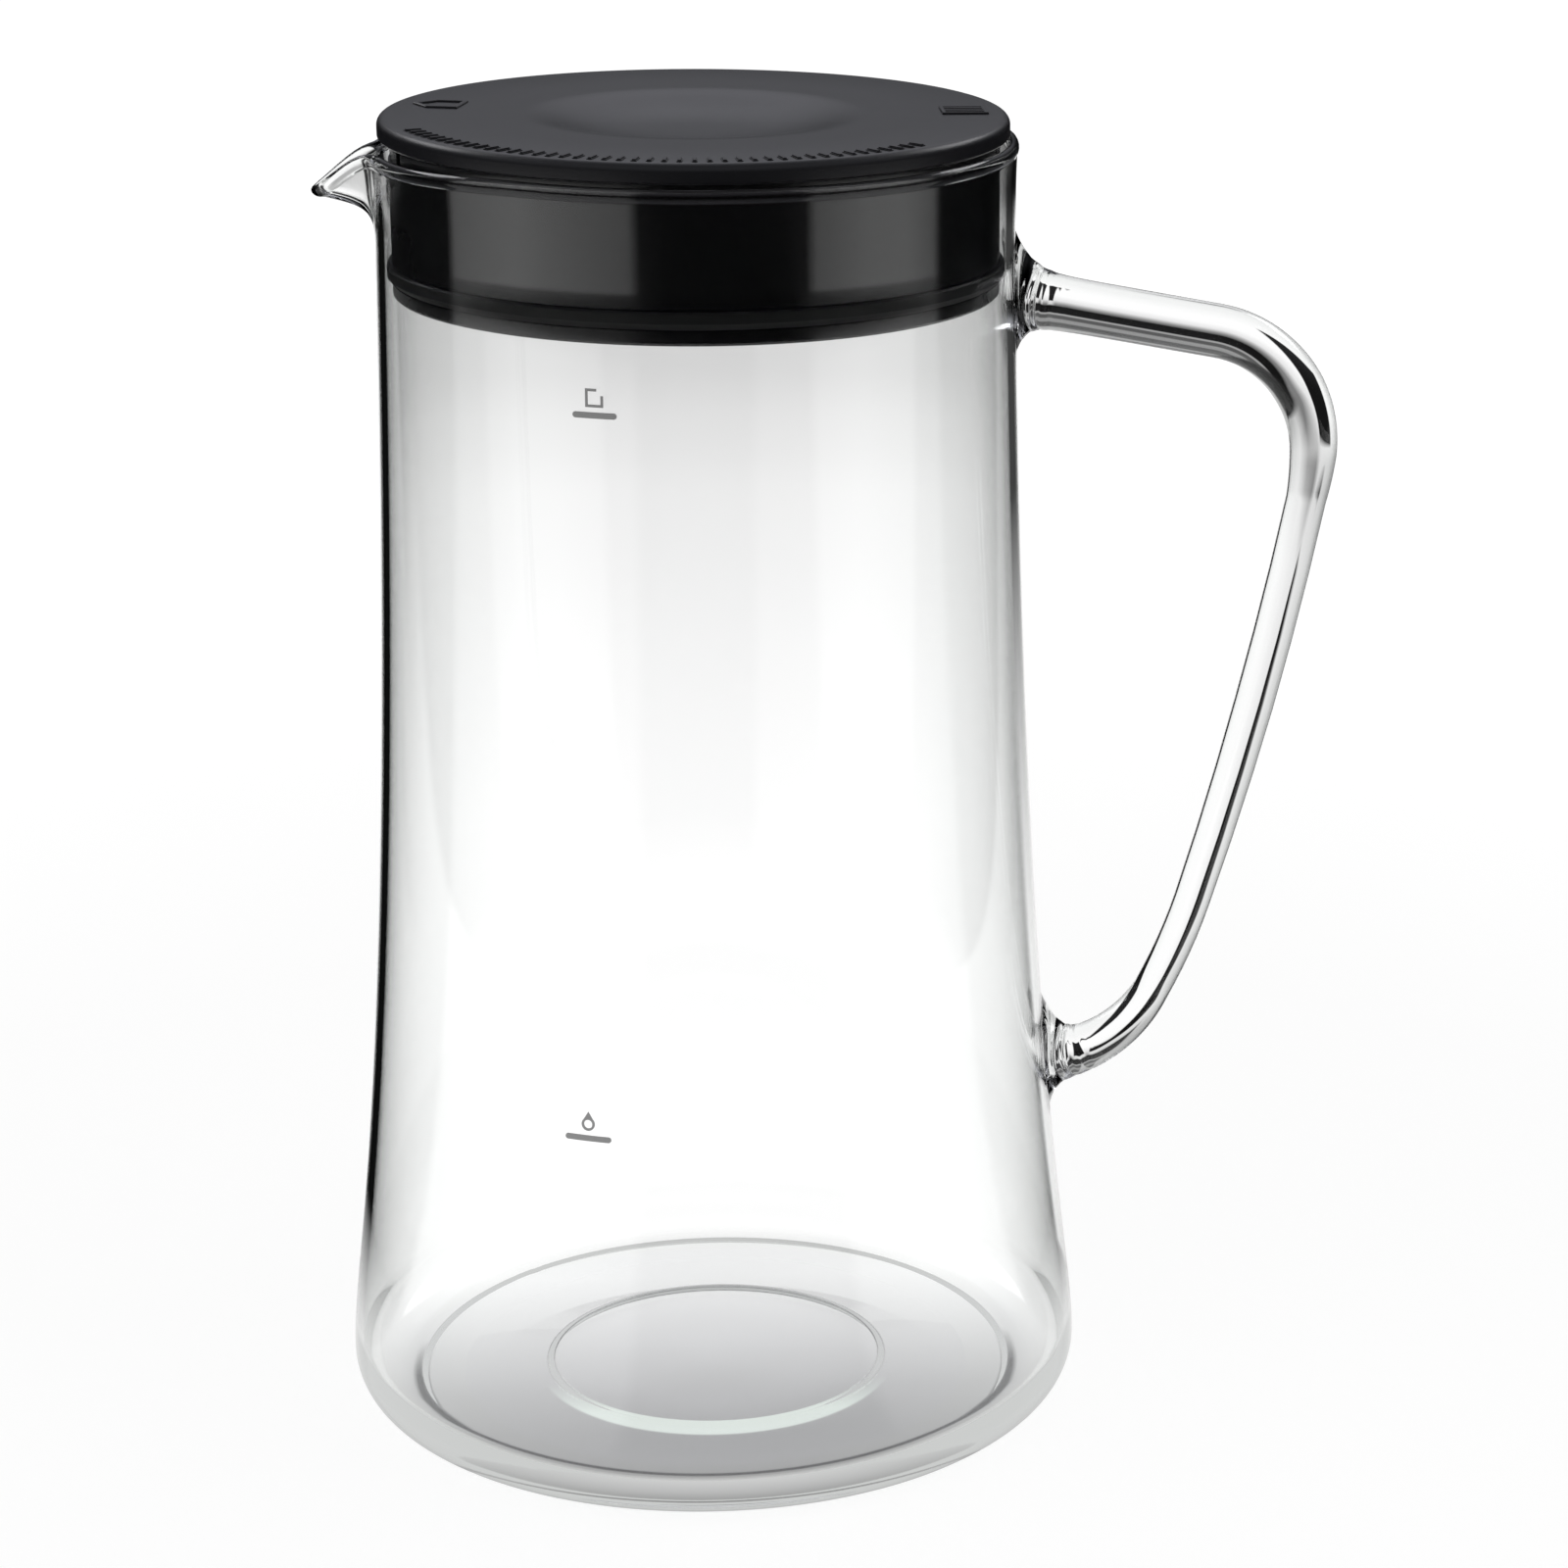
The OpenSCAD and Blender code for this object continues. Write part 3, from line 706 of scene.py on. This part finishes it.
run = np.zeros(len(handle.data.vertices), np.float32)
handle.data.attributes["run"].data.foreach_get("value", run)
co = np.zeros(len(run) * 3, np.float32)
handle.data.vertices.foreach_get("co", co)
co = co.reshape(-1, 3).astype(float) / MM
d = np.minimum(run, total - run)
path_run = np.array([t for _, _, t in path])
middle = np.stack([np.interp(run, path_run, [p[i] for p, _, _ in path]) for i in (0, 1)], -1)
off = np.stack([co[:, 0] - middle[:, 0], co[:, 1], co[:, 2] - middle[:, 1]], -1)
swirl = np.arctan2(off[:, 1], off[:, 2])
flank = np.sin(swirl) ** 2

fading = 1 - smooth((d - fold_end) / fold_fade)
folds = np.sin(2 * math.pi * d / fold_pitch + 0.9 * np.sin(swirl) + 0.6 * np.sin(2 * swirl + 1))
hair = hair_depth * np.sin(2 * math.pi * d / (hair_pitch * fold_pitch)
                           + 2.2 * np.sin(swirl + 0.7))
window = smooth((d - fold_start) / fold_rise) * fading
calm = calm_top + (1 - calm_top) * flank
reach = np.linalg.norm(off, axis=1) + 1e-9
co += off / reach[:, None] * (fold_depth * window * calm * (folds + hair))[:, None]
k = smooth(d / pad_zone)
x_wall = np.sqrt(np.maximum(wall_mid(co[:, 2]) ** 2 - co[:, 1] ** 2, 1)) + d
co[:, 0] = k * co[:, 0] + (1 - k) * x_wall
co[:, 0] -= fold_bow * np.minimum(d, fold_end) * flank * fading
co[:, 2] += np.where(run > total / 2, lower_lean, upper_lean) * np.exp(-(d / lean_fall) ** 2)
handle.data.vertices.foreach_set("co", (co * MM).astype(np.float32).ravel())
tidy_mesh(handle)
print("roots pressed:", int((d < fold_end + fold_fade).sum()), "points moved")

# %% [markdown]
# A union then makes one closed skin of the vessel and the rod, as the flame does.

# %% Fuse the vessel and the handle
fuse = vessel.modifiers.new("fuse", "BOOLEAN")
fuse.operation, fuse.object, fuse.solver = "UNION", handle, "EXACT"
fuse.material_mode = "TRANSFER"
bpy.context.view_layer.update()
fused = bpy.data.meshes.new_from_object(
    vessel.evaluated_get(bpy.context.evaluated_depsgraph_get()))
vessel.modifiers.clear()
vessel.data = fused
bpy.data.objects.remove(handle)
tidy_mesh(vessel, 50, 2e-6)
print("fused vessel:", len(vessel.data.vertices), "points,", len(vessel.data.polygons), "faces")
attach(vessel, "pitcher")
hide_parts("glass_body", "spout", "glass_handle")

# %% [markdown]
# The lid's disc is a plate with a rounded edge and a shallow dish for the palm. Its
# outline is one profile turned round the axis, with points gathered where it bends.

# %% The lid's disc
disc_radius, disc_thickness, disc_edge = skirt_radius + 1.8, 3.6, 1.5
disc_z = rim_z + 0.5
top_z = disc_z + disc_thickness
dish_radius, dish_depth, dish_floor, dish_power = 31.0, 3.0, 2.4, 1.9


def disc_top(r):
    r = min(r / dish_radius, 1.0)
    return top_z - dish_depth * (1 + math.cos(math.pi * r ** dish_power)) / 2


def turned_mesh(name, profile, count, material, angle=40):
    """Turns a profile of (radius, height) round the axis; both ends lie on it."""
    verts, faces = [(0, 0, profile[0][1] * MM)], []
    for j in range(count):
        t = 2 * math.pi * j / count
        verts += [(r * MM * math.cos(t), r * MM * math.sin(t), z * MM)
                  for r, z in profile[1:-1]]
    verts.append((0, 0, profile[-1][1] * MM))
    m, last = len(profile) - 2, len(verts) - 1
    for j in range(count):
        a, b = 1 + j * m, 1 + ((j + 1) % count) * m
        faces.append((0, b, a))
        faces += [(a + i, b + i, b + i + 1, a + i + 1) for i in range(m - 1)]
        faces.append((a + m - 1, b + m - 1, last))
    return tidy_mesh(mesh_object(name, verts, faces, material), angle)


profile = [(r, min(disc_z, disc_top(r) - dish_floor))
           for r in np.linspace(0, dish_radius + 2, 24)]
profile += [(disc_radius - 0.4, disc_z), (disc_radius, disc_z + 0.4)]
profile += [(disc_radius - disc_edge + disc_edge * math.cos(t),
             top_z - disc_edge + disc_edge * math.sin(t))
            for t in np.radians(np.linspace(0, 90, 9))]
profile += [(r, disc_top(r)) for r in np.linspace(dish_radius + 8, 0, 44)]
disc = turned_mesh("lid_disc", profile, 192, lid_plastic)
print("disc:", len(disc.data.polygons), "faces")
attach(disc, "lid")
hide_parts("lid_cover")

# %% [markdown]
# Along the front of the disc stands a row of small raised bars. They repeat at one
# pitch along an arc, so Geometry Nodes place them: points on the arc, one bar on each,
# turned to face the middle.

# %% Raised bars along the front
emboss, rib_count, rib_pitch, rib_length, rib_width = 0.35, 43, 2.7, 3.2, 1.0
row_middle, rib_bevel, rib_inset = -101, 0.22, 0.6      # the first is a bearing in degrees

rib = bpy.data.meshes.new("bar")
bm = bmesh.new()
bmesh.ops.create_cube(bm, size=1.0)
bmesh.ops.scale(bm, vec=(rib_length * MM, rib_width * MM, (2 * emboss) * MM), verts=bm.verts)
top_edges = [e for e in bm.edges if all(v.co.z > 0 for v in e.verts)]
bmesh.ops.bevel(bm, geom=top_edges, offset=rib_bevel * MM, segments=2, affect="EDGES")
bm.to_mesh(rib)
bm.free()
rib_source = bpy.data.objects.new("bar", rib)
bpy.context.scene.collection.objects.link(rib_source)

row = Tree("arc_of_bars", {
    "Count": ("NodeSocketInt", 43), "Pitch": ("NodeSocketFloat", 0.047),
    "Radius": ("NodeSocketFloat", 0.05), "Middle": ("NodeSocketFloat", 0.0),
    "Height": ("NodeSocketFloat", 0.2), "Finish": ("NodeSocketMaterial", None)})
index = row.node("GeometryNodeInputIndex")
angle = (index - (row.into("Count") - 1.0) * 0.5) * row.into("Pitch") + row.into("Middle")
spot = row.node("ShaderNodeCombineXYZ", inputs={
    0: angle.math("COSINE") * row.into("Radius"), 1: angle.math("SINE") * row.into("Radius"),
    2: row.into("Height")})
dots = row.node("GeometryNodePoints", inputs={"Count": row.into("Count"), "Position": spot})
facing = row.node("ShaderNodeCombineXYZ", inputs={2: angle})
facing = row.node("FunctionNodeEulerToRotation", inputs={0: facing})
row.end(row.node("GeometryNodeInstanceOnPoints", inputs={
    "Points": dots, "Instance": row.into("Geometry"), "Rotation": facing}))
bars = grow("lid_bars", rib_source, row, {
    "Count": rib_count, "Pitch": math.radians(rib_pitch), "Middle": math.radians(row_middle),
    "Radius": (disc_radius - disc_edge - rib_inset - rib_length / 2) * MM,
    "Height": top_z * MM}, lid_plastic)
tidy_mesh(bars, 40)
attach(bars, "lid")

# %% [markdown]
# Two small raised outlines show which side pours and which side strains. Each is a
# flat outline with a hole, raised and given a soft upper edge.

# %% Raised signs
stroke, sunk, soft_edge = 0.8, 0.15, 0.12       # width, depth below the disc and bevel, mm


def outline_band(points):
    """A closed band of one stroke inside an outline, as (outer, inner) loops."""
    p = np.array(points, float)
    inner = []
    for i in range(len(p)):
        a, b, c = p[i - 1], p[i], p[(i + 1) % len(p)]
        n1, n2 = unit(b - a), unit(c - b)
        n1, n2 = np.array([-n1[1], n1[0]]), np.array([-n2[1], n2[0]])
        m = unit(n1 + n2)
        inner.append(b + m * stroke / max(np.dot(m, n1), 0.2))
    return p, np.array(inner)


def raise_outline(bm, points):
    outer, inner = outline_band(points)
    loops = []
    for z, shrink in ((-sunk, 0), (emboss - soft_edge, 0), (emboss, soft_edge)):
        a, b = (outer + (inner - outer) * shrink / stroke,
                inner + (outer - inner) * shrink / stroke)
        loops.append(([bm.verts.new((x, y, z)) for x, y in a],
                      [bm.verts.new((x, y, z)) for x, y in b]))
    for i in range(len(points)):
        j = (i + 1) % len(points)
        for (a0, b0), (a1, b1) in zip(loops, loops[1:]):
            bm.faces.new((a0[i], a0[j], a1[j], a1[i]))
            bm.faces.new((b0[j], b0[i], b1[i], b1[j]))
        a, b = loops[-1]
        bm.faces.new((a[i], a[j], b[j], b[i]))
        a, b = loops[0]
        bm.faces.new((a[j], a[i], b[i], b[j]))


def raised_sign(name, points, bars_in, turn, radius):
    """An outline with bars in it, on the disc at a bearing in degrees and a radius."""
    bm = bmesh.new()
    raise_outline(bm, points)
    for x0, y0, x1, y1 in bars_in:
        made = bmesh.ops.create_cube(bm, size=1.0)["verts"]
        bmesh.ops.scale(bm, vec=(x1 - x0, y1 - y0, emboss + sunk), verts=made)
        bmesh.ops.translate(bm, vec=((x0 + x1) / 2, (y0 + y1) / 2, (emboss - sunk) / 2),
                            verts=made)
    mesh = bpy.data.meshes.new(name)
    bm.to_mesh(mesh)
    bm.free()
    mesh.materials.append(lid_plastic)
    mesh.transform(Matrix.Translation((0, 0, top_z * MM))
                   @ Matrix.Rotation(math.radians(turn), 4, "Z")
                   @ Matrix.Translation((radius * MM, 0, 0)) @ Matrix.Scale(MM, 4))
    obj = bpy.data.objects.new(name, mesh)
    bpy.context.scene.collection.objects.link(obj)
    tidy_mesh(obj, 30)
    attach(obj, "lid")
    return obj


pour = raised_sign("pour_sign", [(-4.2, -4), (1.6, -4), (5, 0), (1.6, 4), (-4.2, 4)], [],
                   168, disc_radius - 9.7)
strain = raised_sign("strain_sign", [(-4.2, -4), (4.2, -4), (4.2, 4), (-4.2, 4)],
                     [(-3.6, 1.9 * i - 0.4, 3.6, 1.9 * i + 0.4) for i in (-1, 0, 1)],
                     2, disc_radius - 8.2)
print("signs:", pour.name, strain.name)

# %% [markdown]
# The skirt, the seal and the printed marks have the right shape already, so their
# solids stay and only get their finish.

# %% Finishes on the solids that stay
for node, finish in {"lid_skirt": skirt_plastic, "lid_seal": seal_rubber,
                     "ice_line": upper_ink, "ice_symbol": upper_ink,
                     "water_line": lower_ink, "water_symbol": lower_ink}.items():
    for slot in frame["nodes"][node].material_slots:
        slot.material = finish
    print(node, "wears", finish.name)

# %% [markdown]
# Clear glass shows only what lies around it. So the table and the room give each kind of
# ray its own plain tone. A ray can go straight to the camera, it can be mirrored on its
# way, or it can pass through the solid rod (two faces) or both walls of the vessel (four
# faces or more).

# %% Kinds of ray
rod_only, unmirrored = 2.5, 0.5     # limits half-way between whole counts of faces and mirrors


def ray_kinds(s):
    """1 or 0 for rays to the camera, mirrored rays, rays through a rod and through walls."""
    camera, sharp, glass, mirrorings, crossings = s.ray(
        "Is Camera Ray", "Is Glossy Ray", "Is Transmission Ray", "Glossy Depth",
        "Transmission Depth")
    straight = mirrorings.below(unmirrored)
    through_walls = crossings.above(rod_only) * straight * glass
    through_rod = crossings.below(rod_only) * straight * glass
    mirrored = (sharp + glass).math("MINIMUM", 1.0) * (1.0 - straight * glass)
    return camera, mirrored, through_rod, through_walls


def bearing_of(east, north):
    """Degrees round the pitcher: 0 faces the camera, 90 is to its right, 180 is behind."""
    return east.math("ARCTAN2", north * -1.0) * (180 / math.pi)


def round_the_room(s, bearing, stops):
    """A tone for each bearing, from (bearing, tone) stops."""
    return s.ramp(bearing / 360.0 + 0.5, [(b / 360 + 0.5, tone) for b, tone in stops])


print("kinds of ray ready")

# %% [markdown]
# The pitcher stands on a plain white table that runs on past the picture. The camera
# sees it white. Glass that looks towards its far end sees it slightly greyer, as on a
# real sweep, which is what gives the upper half of the vessel its soft grey. Mirrored
# rays find two bright panels in front, and the far end dark.

# %% Tones of the table
front_panels = [(-97, 0.005), (-94, 0.6), (-66, 1.0), (-44, 0.75), (-24, 0.55), (-20, 0.005),
                (38, 0.005), (42, 0.6), (62, 0.9), (78, 0.85), (92, 0.5), (95, 0.005)]
seen_in_rods = [(-180, 0.5), (-175, 0.36), (-170, 0.6), (-162, 0.17), (-153, 0.4),
                (-140, 0.74), *front_panels, (116, 0.6), (130, 0.9), (172, 1.0), (180, 0.5)]
seen_in_mirror = [(-180, 1.0), (-166.5, 1.0), (-165, 0.005), *front_panels, (146, 0.005),
                  (150, 1.0), (180, 1.0)]


def painted_shadow_and_caustic(s, place, away, north):
    """Painted shadow of the pitcher on the table under its base, grey in front and white behind,
    with a painted crescent of the light that the push-up gathers and a painted shadow line at
    the edge of the foot."""
    # painted shadow: the table under the base grows darker towards the front
    tone = s.ramp(north * 8.0 + 0.5, [
        (0.052, 0.30), (0.228, 0.38), (0.388, 0.50), (0.524, 0.68), (0.668, 0.90),
        (0.828, 1.12), (1.0, 1.15)])
    # painted light: a crescent of the light that the push-up gathers
    shifted = s.node("ShaderNodeVectorMath", {"operation": "SUBTRACT"},
                     {0: place, 1: (0.0, 0.0075, 0.0)})
    crescent = s.step(away, 0.0354, 0.0346) * s.step(s.length(shifted), 0.0346, 0.0358) * \
        s.step(north, -0.010, -0.024)
    tone = s.blend(crescent, tone, (0.80, 0.87, 0.82))
    # painted shadow: a dark line at the edge of the foot
    foot_shadow_line = s.step(away, 0.0568, 0.0578) * s.step(away, 0.0600, 0.0590) * \
        s.step(north, 0.010, -0.006)
    return s.blend(foot_shadow_line, tone, 0.04)


def through_the_walls(s, away):
    """White close by and greyer with the distance, up to four metres."""
    return s.ramp(away * 0.25, [
        (0.0, 1.13), (0.09, 1.12), (0.133, 1.05), (0.1575, 1.0), (0.186, 0.96), (0.2015, 0.90),
        (0.2185, 0.85), (0.237, 0.76), (0.30, 0.66), (0.5, 0.5), (1.0, 0.4)])


def in_a_mirror(s, away, east, north):
    """Bright panels in front and a bright ground behind, that end about 1.3 metres off."""
    beside = s.step(north, 0.0, 0.06, 0.0, 0.066)
    sideways = east.math("SIGN") * (east.math("ABSOLUTE") - beside).math("MAXIMUM", 0.0)
    bearing = bearing_of(sideways, north)
    fade = s.ramp(away * 0.25, [(0.0, 1.0), (0.325, 1.0), (0.345, 0.02), (1.0, 0.008)])
    far_right = s.step(bearing, 167.0, 165.0) * s.step(bearing, 120.0, 124.0) * \
        s.step(away, 0.3, 0.8, 0.0, 0.94)
    tone = s.times(s.times(round_the_room(s, bearing, seen_in_mirror), fade), 1.0 - far_right)
    return s.blend(s.step(away, 0.09, 0.14), 0.85, tone)


print("tones of the table:", len(seen_in_rods), "stops for rods,", len(seen_in_mirror),
      "for mirrors")

# %% [markdown]
# The rod of the handle looks down at the table too. It sees a dark patch painted on the table
# to the right of the pitcher, which only rays through the rod meet. Outside the pitcher's foot
# and the patch, the table lets the rod's rays pass to the room, which has the rest of what the
# rod shows.

# %% The table's surface
floor_mat, s = new_material("white_table")
place = s.here()
away = s.length(place)
east, north, _ = s.xyz(place)
outside_foot = s.step(away, 0.060, 0.076)
# painted shadow and painted light on the table under the base, seen through the glass
shadow_and_caustic = painted_shadow_and_caustic(s, place, away, north)
walls = s.blend(outside_foot, shadow_and_caustic, through_the_walls(s, away))
mirror = s.blend(outside_foot, shadow_and_caustic, in_a_mirror(s, away, east, north))
# a dark patch painted on the table to the right of the pitcher, met only by rays through the rod
dark_patch = s.step(((east - 0.2).math("ABSOLUTE") * 0.42 + 0.07) - north, 0.0, 0.005) * \
    s.step(north + east * 1.15, 0.198, 0.204)
rods = s.blend(dark_patch, round_the_room(s, bearing_of(east, north), seen_in_rods), 0.008)

camera_ray, mirror_ray, rod_ray, wall_ray = ray_kinds(s)
tone = s.step(away, 0.25, 1.1, 0.85, 1.0)
for share, seen in ((mirror_ray, mirror), (rod_ray, rods), (wall_ray, walls)):
    tone = s.blend(share, tone, seen)
lit = s.glow(tone)
paint = s.node("ShaderNodeBsdfDiffuse", inputs={"Color": rgba(0.30)})
by_eye = s.mix(camera_ray, paint, s.node("ShaderNodeAddShader", inputs={0: paint, 1: lit}))
table_seen = s.mix(mirror_ray + rod_ray + wall_ray, by_eye, lit)
passes = rod_ray * s.step(away, 0.079, 0.081) * (1.0 - dark_patch)
s.finish(s.mix(passes, table_seen, s.clear(1.0)))
floor_mat.cycles.emission_sampling = "NONE"
print("table painted with", len(floor_mat.node_tree.nodes), "nodes")

# %% [markdown]
# The table itself is a flat disc of four rings, nine metres out, just under the foot.

# %% The table's mesh
ring_radii, spokes, table_z = (0.5, 1.5, 4.0, 9.0), 64, -0.00005
floor_verts, floor_faces = [(0.0, 0.0, table_z)], []
for r in ring_radii:
    floor_verts += [(r * math.cos(t), r * math.sin(t), table_z)
                    for t in np.linspace(0, 2 * math.pi, spokes + 1)[:-1]]
for i in range(spokes):
    j = (i + 1) % spokes
    floor_faces.append((0, 1 + i, 1 + j))
    for k in range(len(ring_radii) - 1):
        a, b = 1 + spokes * k, 1 + spokes * (k + 1)
        floor_faces.append((a + i, b + i, b + j, a + j))
table = mesh_object("table_top", floor_verts, floor_faces, floor_mat)
print("table:", len(table.data.polygons), "faces")

# %% [markdown]
# Three soft boxes light the plastics and the table. No ray that looks meets them, so
# they leave no shape of their own in the glass.

# %% Soft boxes
def soft_box(name, azimuth, distance, height, width, tall, radiance):
    """A rectangle of light aimed at the pitcher; azimuth 0 is at the camera, + to its right."""
    light = bpy.data.lights.new(name, "AREA")
    light.shape, light.size, light.size_y = "RECTANGLE", width, tall
    light.energy = radiance * math.pi * width * tall
    obj = bpy.data.objects.new(name, light)
    t = math.radians(azimuth)
    spot = Vector((distance * math.sin(t), -distance * math.cos(t), height))
    obj.location = spot
    obj.rotation_euler = (
        Vector((0, 0, min(height, 0.35))) - spot).to_track_quat("-Z", "Y").to_euler()
    obj.visible_camera = obj.visible_glossy = obj.visible_transmission = False
    bpy.context.scene.collection.objects.link(obj)
    print("%s: %.1f W" % (name, light.energy))


soft_box("left_box", -58, 1.0, 0.62, 1.45, 1.2, 0.95)
soft_box("right_box", 76, 1.0, 0.62, 1.15, 1.2, 0.85)
soft_box("top_box", 150, 1.0, 1.5, 0.8, 0.8, 0.6)

# %% [markdown]
# The room stands behind all this. The camera sees it white. The rod sees a bright ground,
# a dark wall far behind with a few streaks, and one black card low down. Mirrored rays
# find the room dark near the horizon and bright higher up, with a small lamp on each
# side.

# %% Tones of the room
def in_the_rod(s, bearing, rise):
    turn = bearing + bearing.below(0.0) * 360.0
    lift = rise.math("ARCSINE") * (180 / math.pi)
    streaks = s.ramp(rise, [
        (0.0, 0.008), (0.055, 0.008), (0.065, 0.34), (0.10, 0.36), (0.12, 0.10), (0.20, 0.10),
        (0.23, 0.30), (0.33, 0.26), (0.36, 0.08), (0.55, 0.10), (0.60, 0.4), (1.0, 0.5)])
    streaks = s.blend(s.step(turn, 160.0, 157.0), streaks, 0.02)
    ground = s.ramp(lift / 60.0 + 1.0, [
        (0.0, 1.0), (0.30, 1.0), (0.55, 1.08), (0.68, 1.06), (0.76, 0.90), (0.84, 0.78),
        (1.0, 0.50)])
    haze = s.step(turn, 150.0, 164.0) * s.step(turn, 184.0, 178.0) * s.step(lift, -13.0, -8.0)
    ground = s.blend(haze, ground, 0.22)
    skyline = s.step(turn, 134.0, 170.0, 3.0, -6.5)
    far_wall = s.step(lift - skyline, -1.0, 1.0) * s.step(turn, 125.0, 131.0) * \
        s.step(turn, 197.0, 194.0)
    card = s.step(turn, 181.5, 182.5) * s.step(turn, 206.0, 204.0) * \
        s.step(lift, -11.0, -12.0) * s.step(lift, -32.0, -31.0)
    return s.blend(card, s.blend(far_wall, ground, streaks), 0.008)


def in_the_room_mirror(s, bearing, rise):
    height = s.ramp(rise, [(0.0, 0.01), (0.08, 0.02), (0.16, 0.08), (0.30, 0.34),
                           (0.50, 0.75), (0.80, 0.75), (1.0, 0.5)])
    behind = round_the_room(s, bearing, [
        (-180, 1.25), (-165, 1.0), (-140, 0.45), (-60, 0.4), (60, 0.4), (140, 0.4), (165, 0.9),
        (180, 1.25)])
    tone = s.times(s.times(height, behind), (0.94, 0.95, 1.03))
    aside = bearing.math("ABSOLUTE")
    lamp = s.step(rise, 0.42, 0.45) * s.step(rise, 0.66, 0.63) * \
        s.step(aside, 112.0, 116.0) * s.step(aside, 152.0, 148.0)
    return s.blend(lamp, tone, (3.5, 3.5, 3.6))


print("tones of the room ready")

# %% [markdown]
# Each kind of ray gets its tone of the room, in the same way as on the table.

# %% The room
world = bpy.data.worlds.new("studio_room")
bpy.context.scene.world = world
world.use_nodes = True
world.node_tree.nodes.clear()
s = Shade(world.node_tree)
east, north, rise = s.xyz(s.node("ShaderNodeTexCoord", out=0))
bearing = bearing_of(east, north)
tone = s.ramp(rise, [(0.0, 0.5), (0.10, 0.55), (0.20, 0.50), (0.40, 0.30), (0.65, 0.18),
                     (1.0, 0.12)])
walls = s.ramp(rise, [(0.0, 0.45), (0.10, 0.42), (0.3, 0.35), (1.0, 0.3)])
camera_ray, mirror_ray, rod_ray, wall_ray = ray_kinds(s)
for share, seen in ((mirror_ray, in_the_room_mirror(s, bearing, rise)),
                    (rod_ray, in_the_rod(s, bearing, rise)), (wall_ray, walls),
                    (camera_ray, 1.0)):
    tone = s.blend(share, tone, seen)
shell = s.node("ShaderNodeBackground", inputs={"Color": tone, "Strength": 1.0})
out = s.tree.nodes.new("ShaderNodeOutputWorld")
s.tree.links.new(shell.socket, out.inputs["Surface"])
print("room ready")
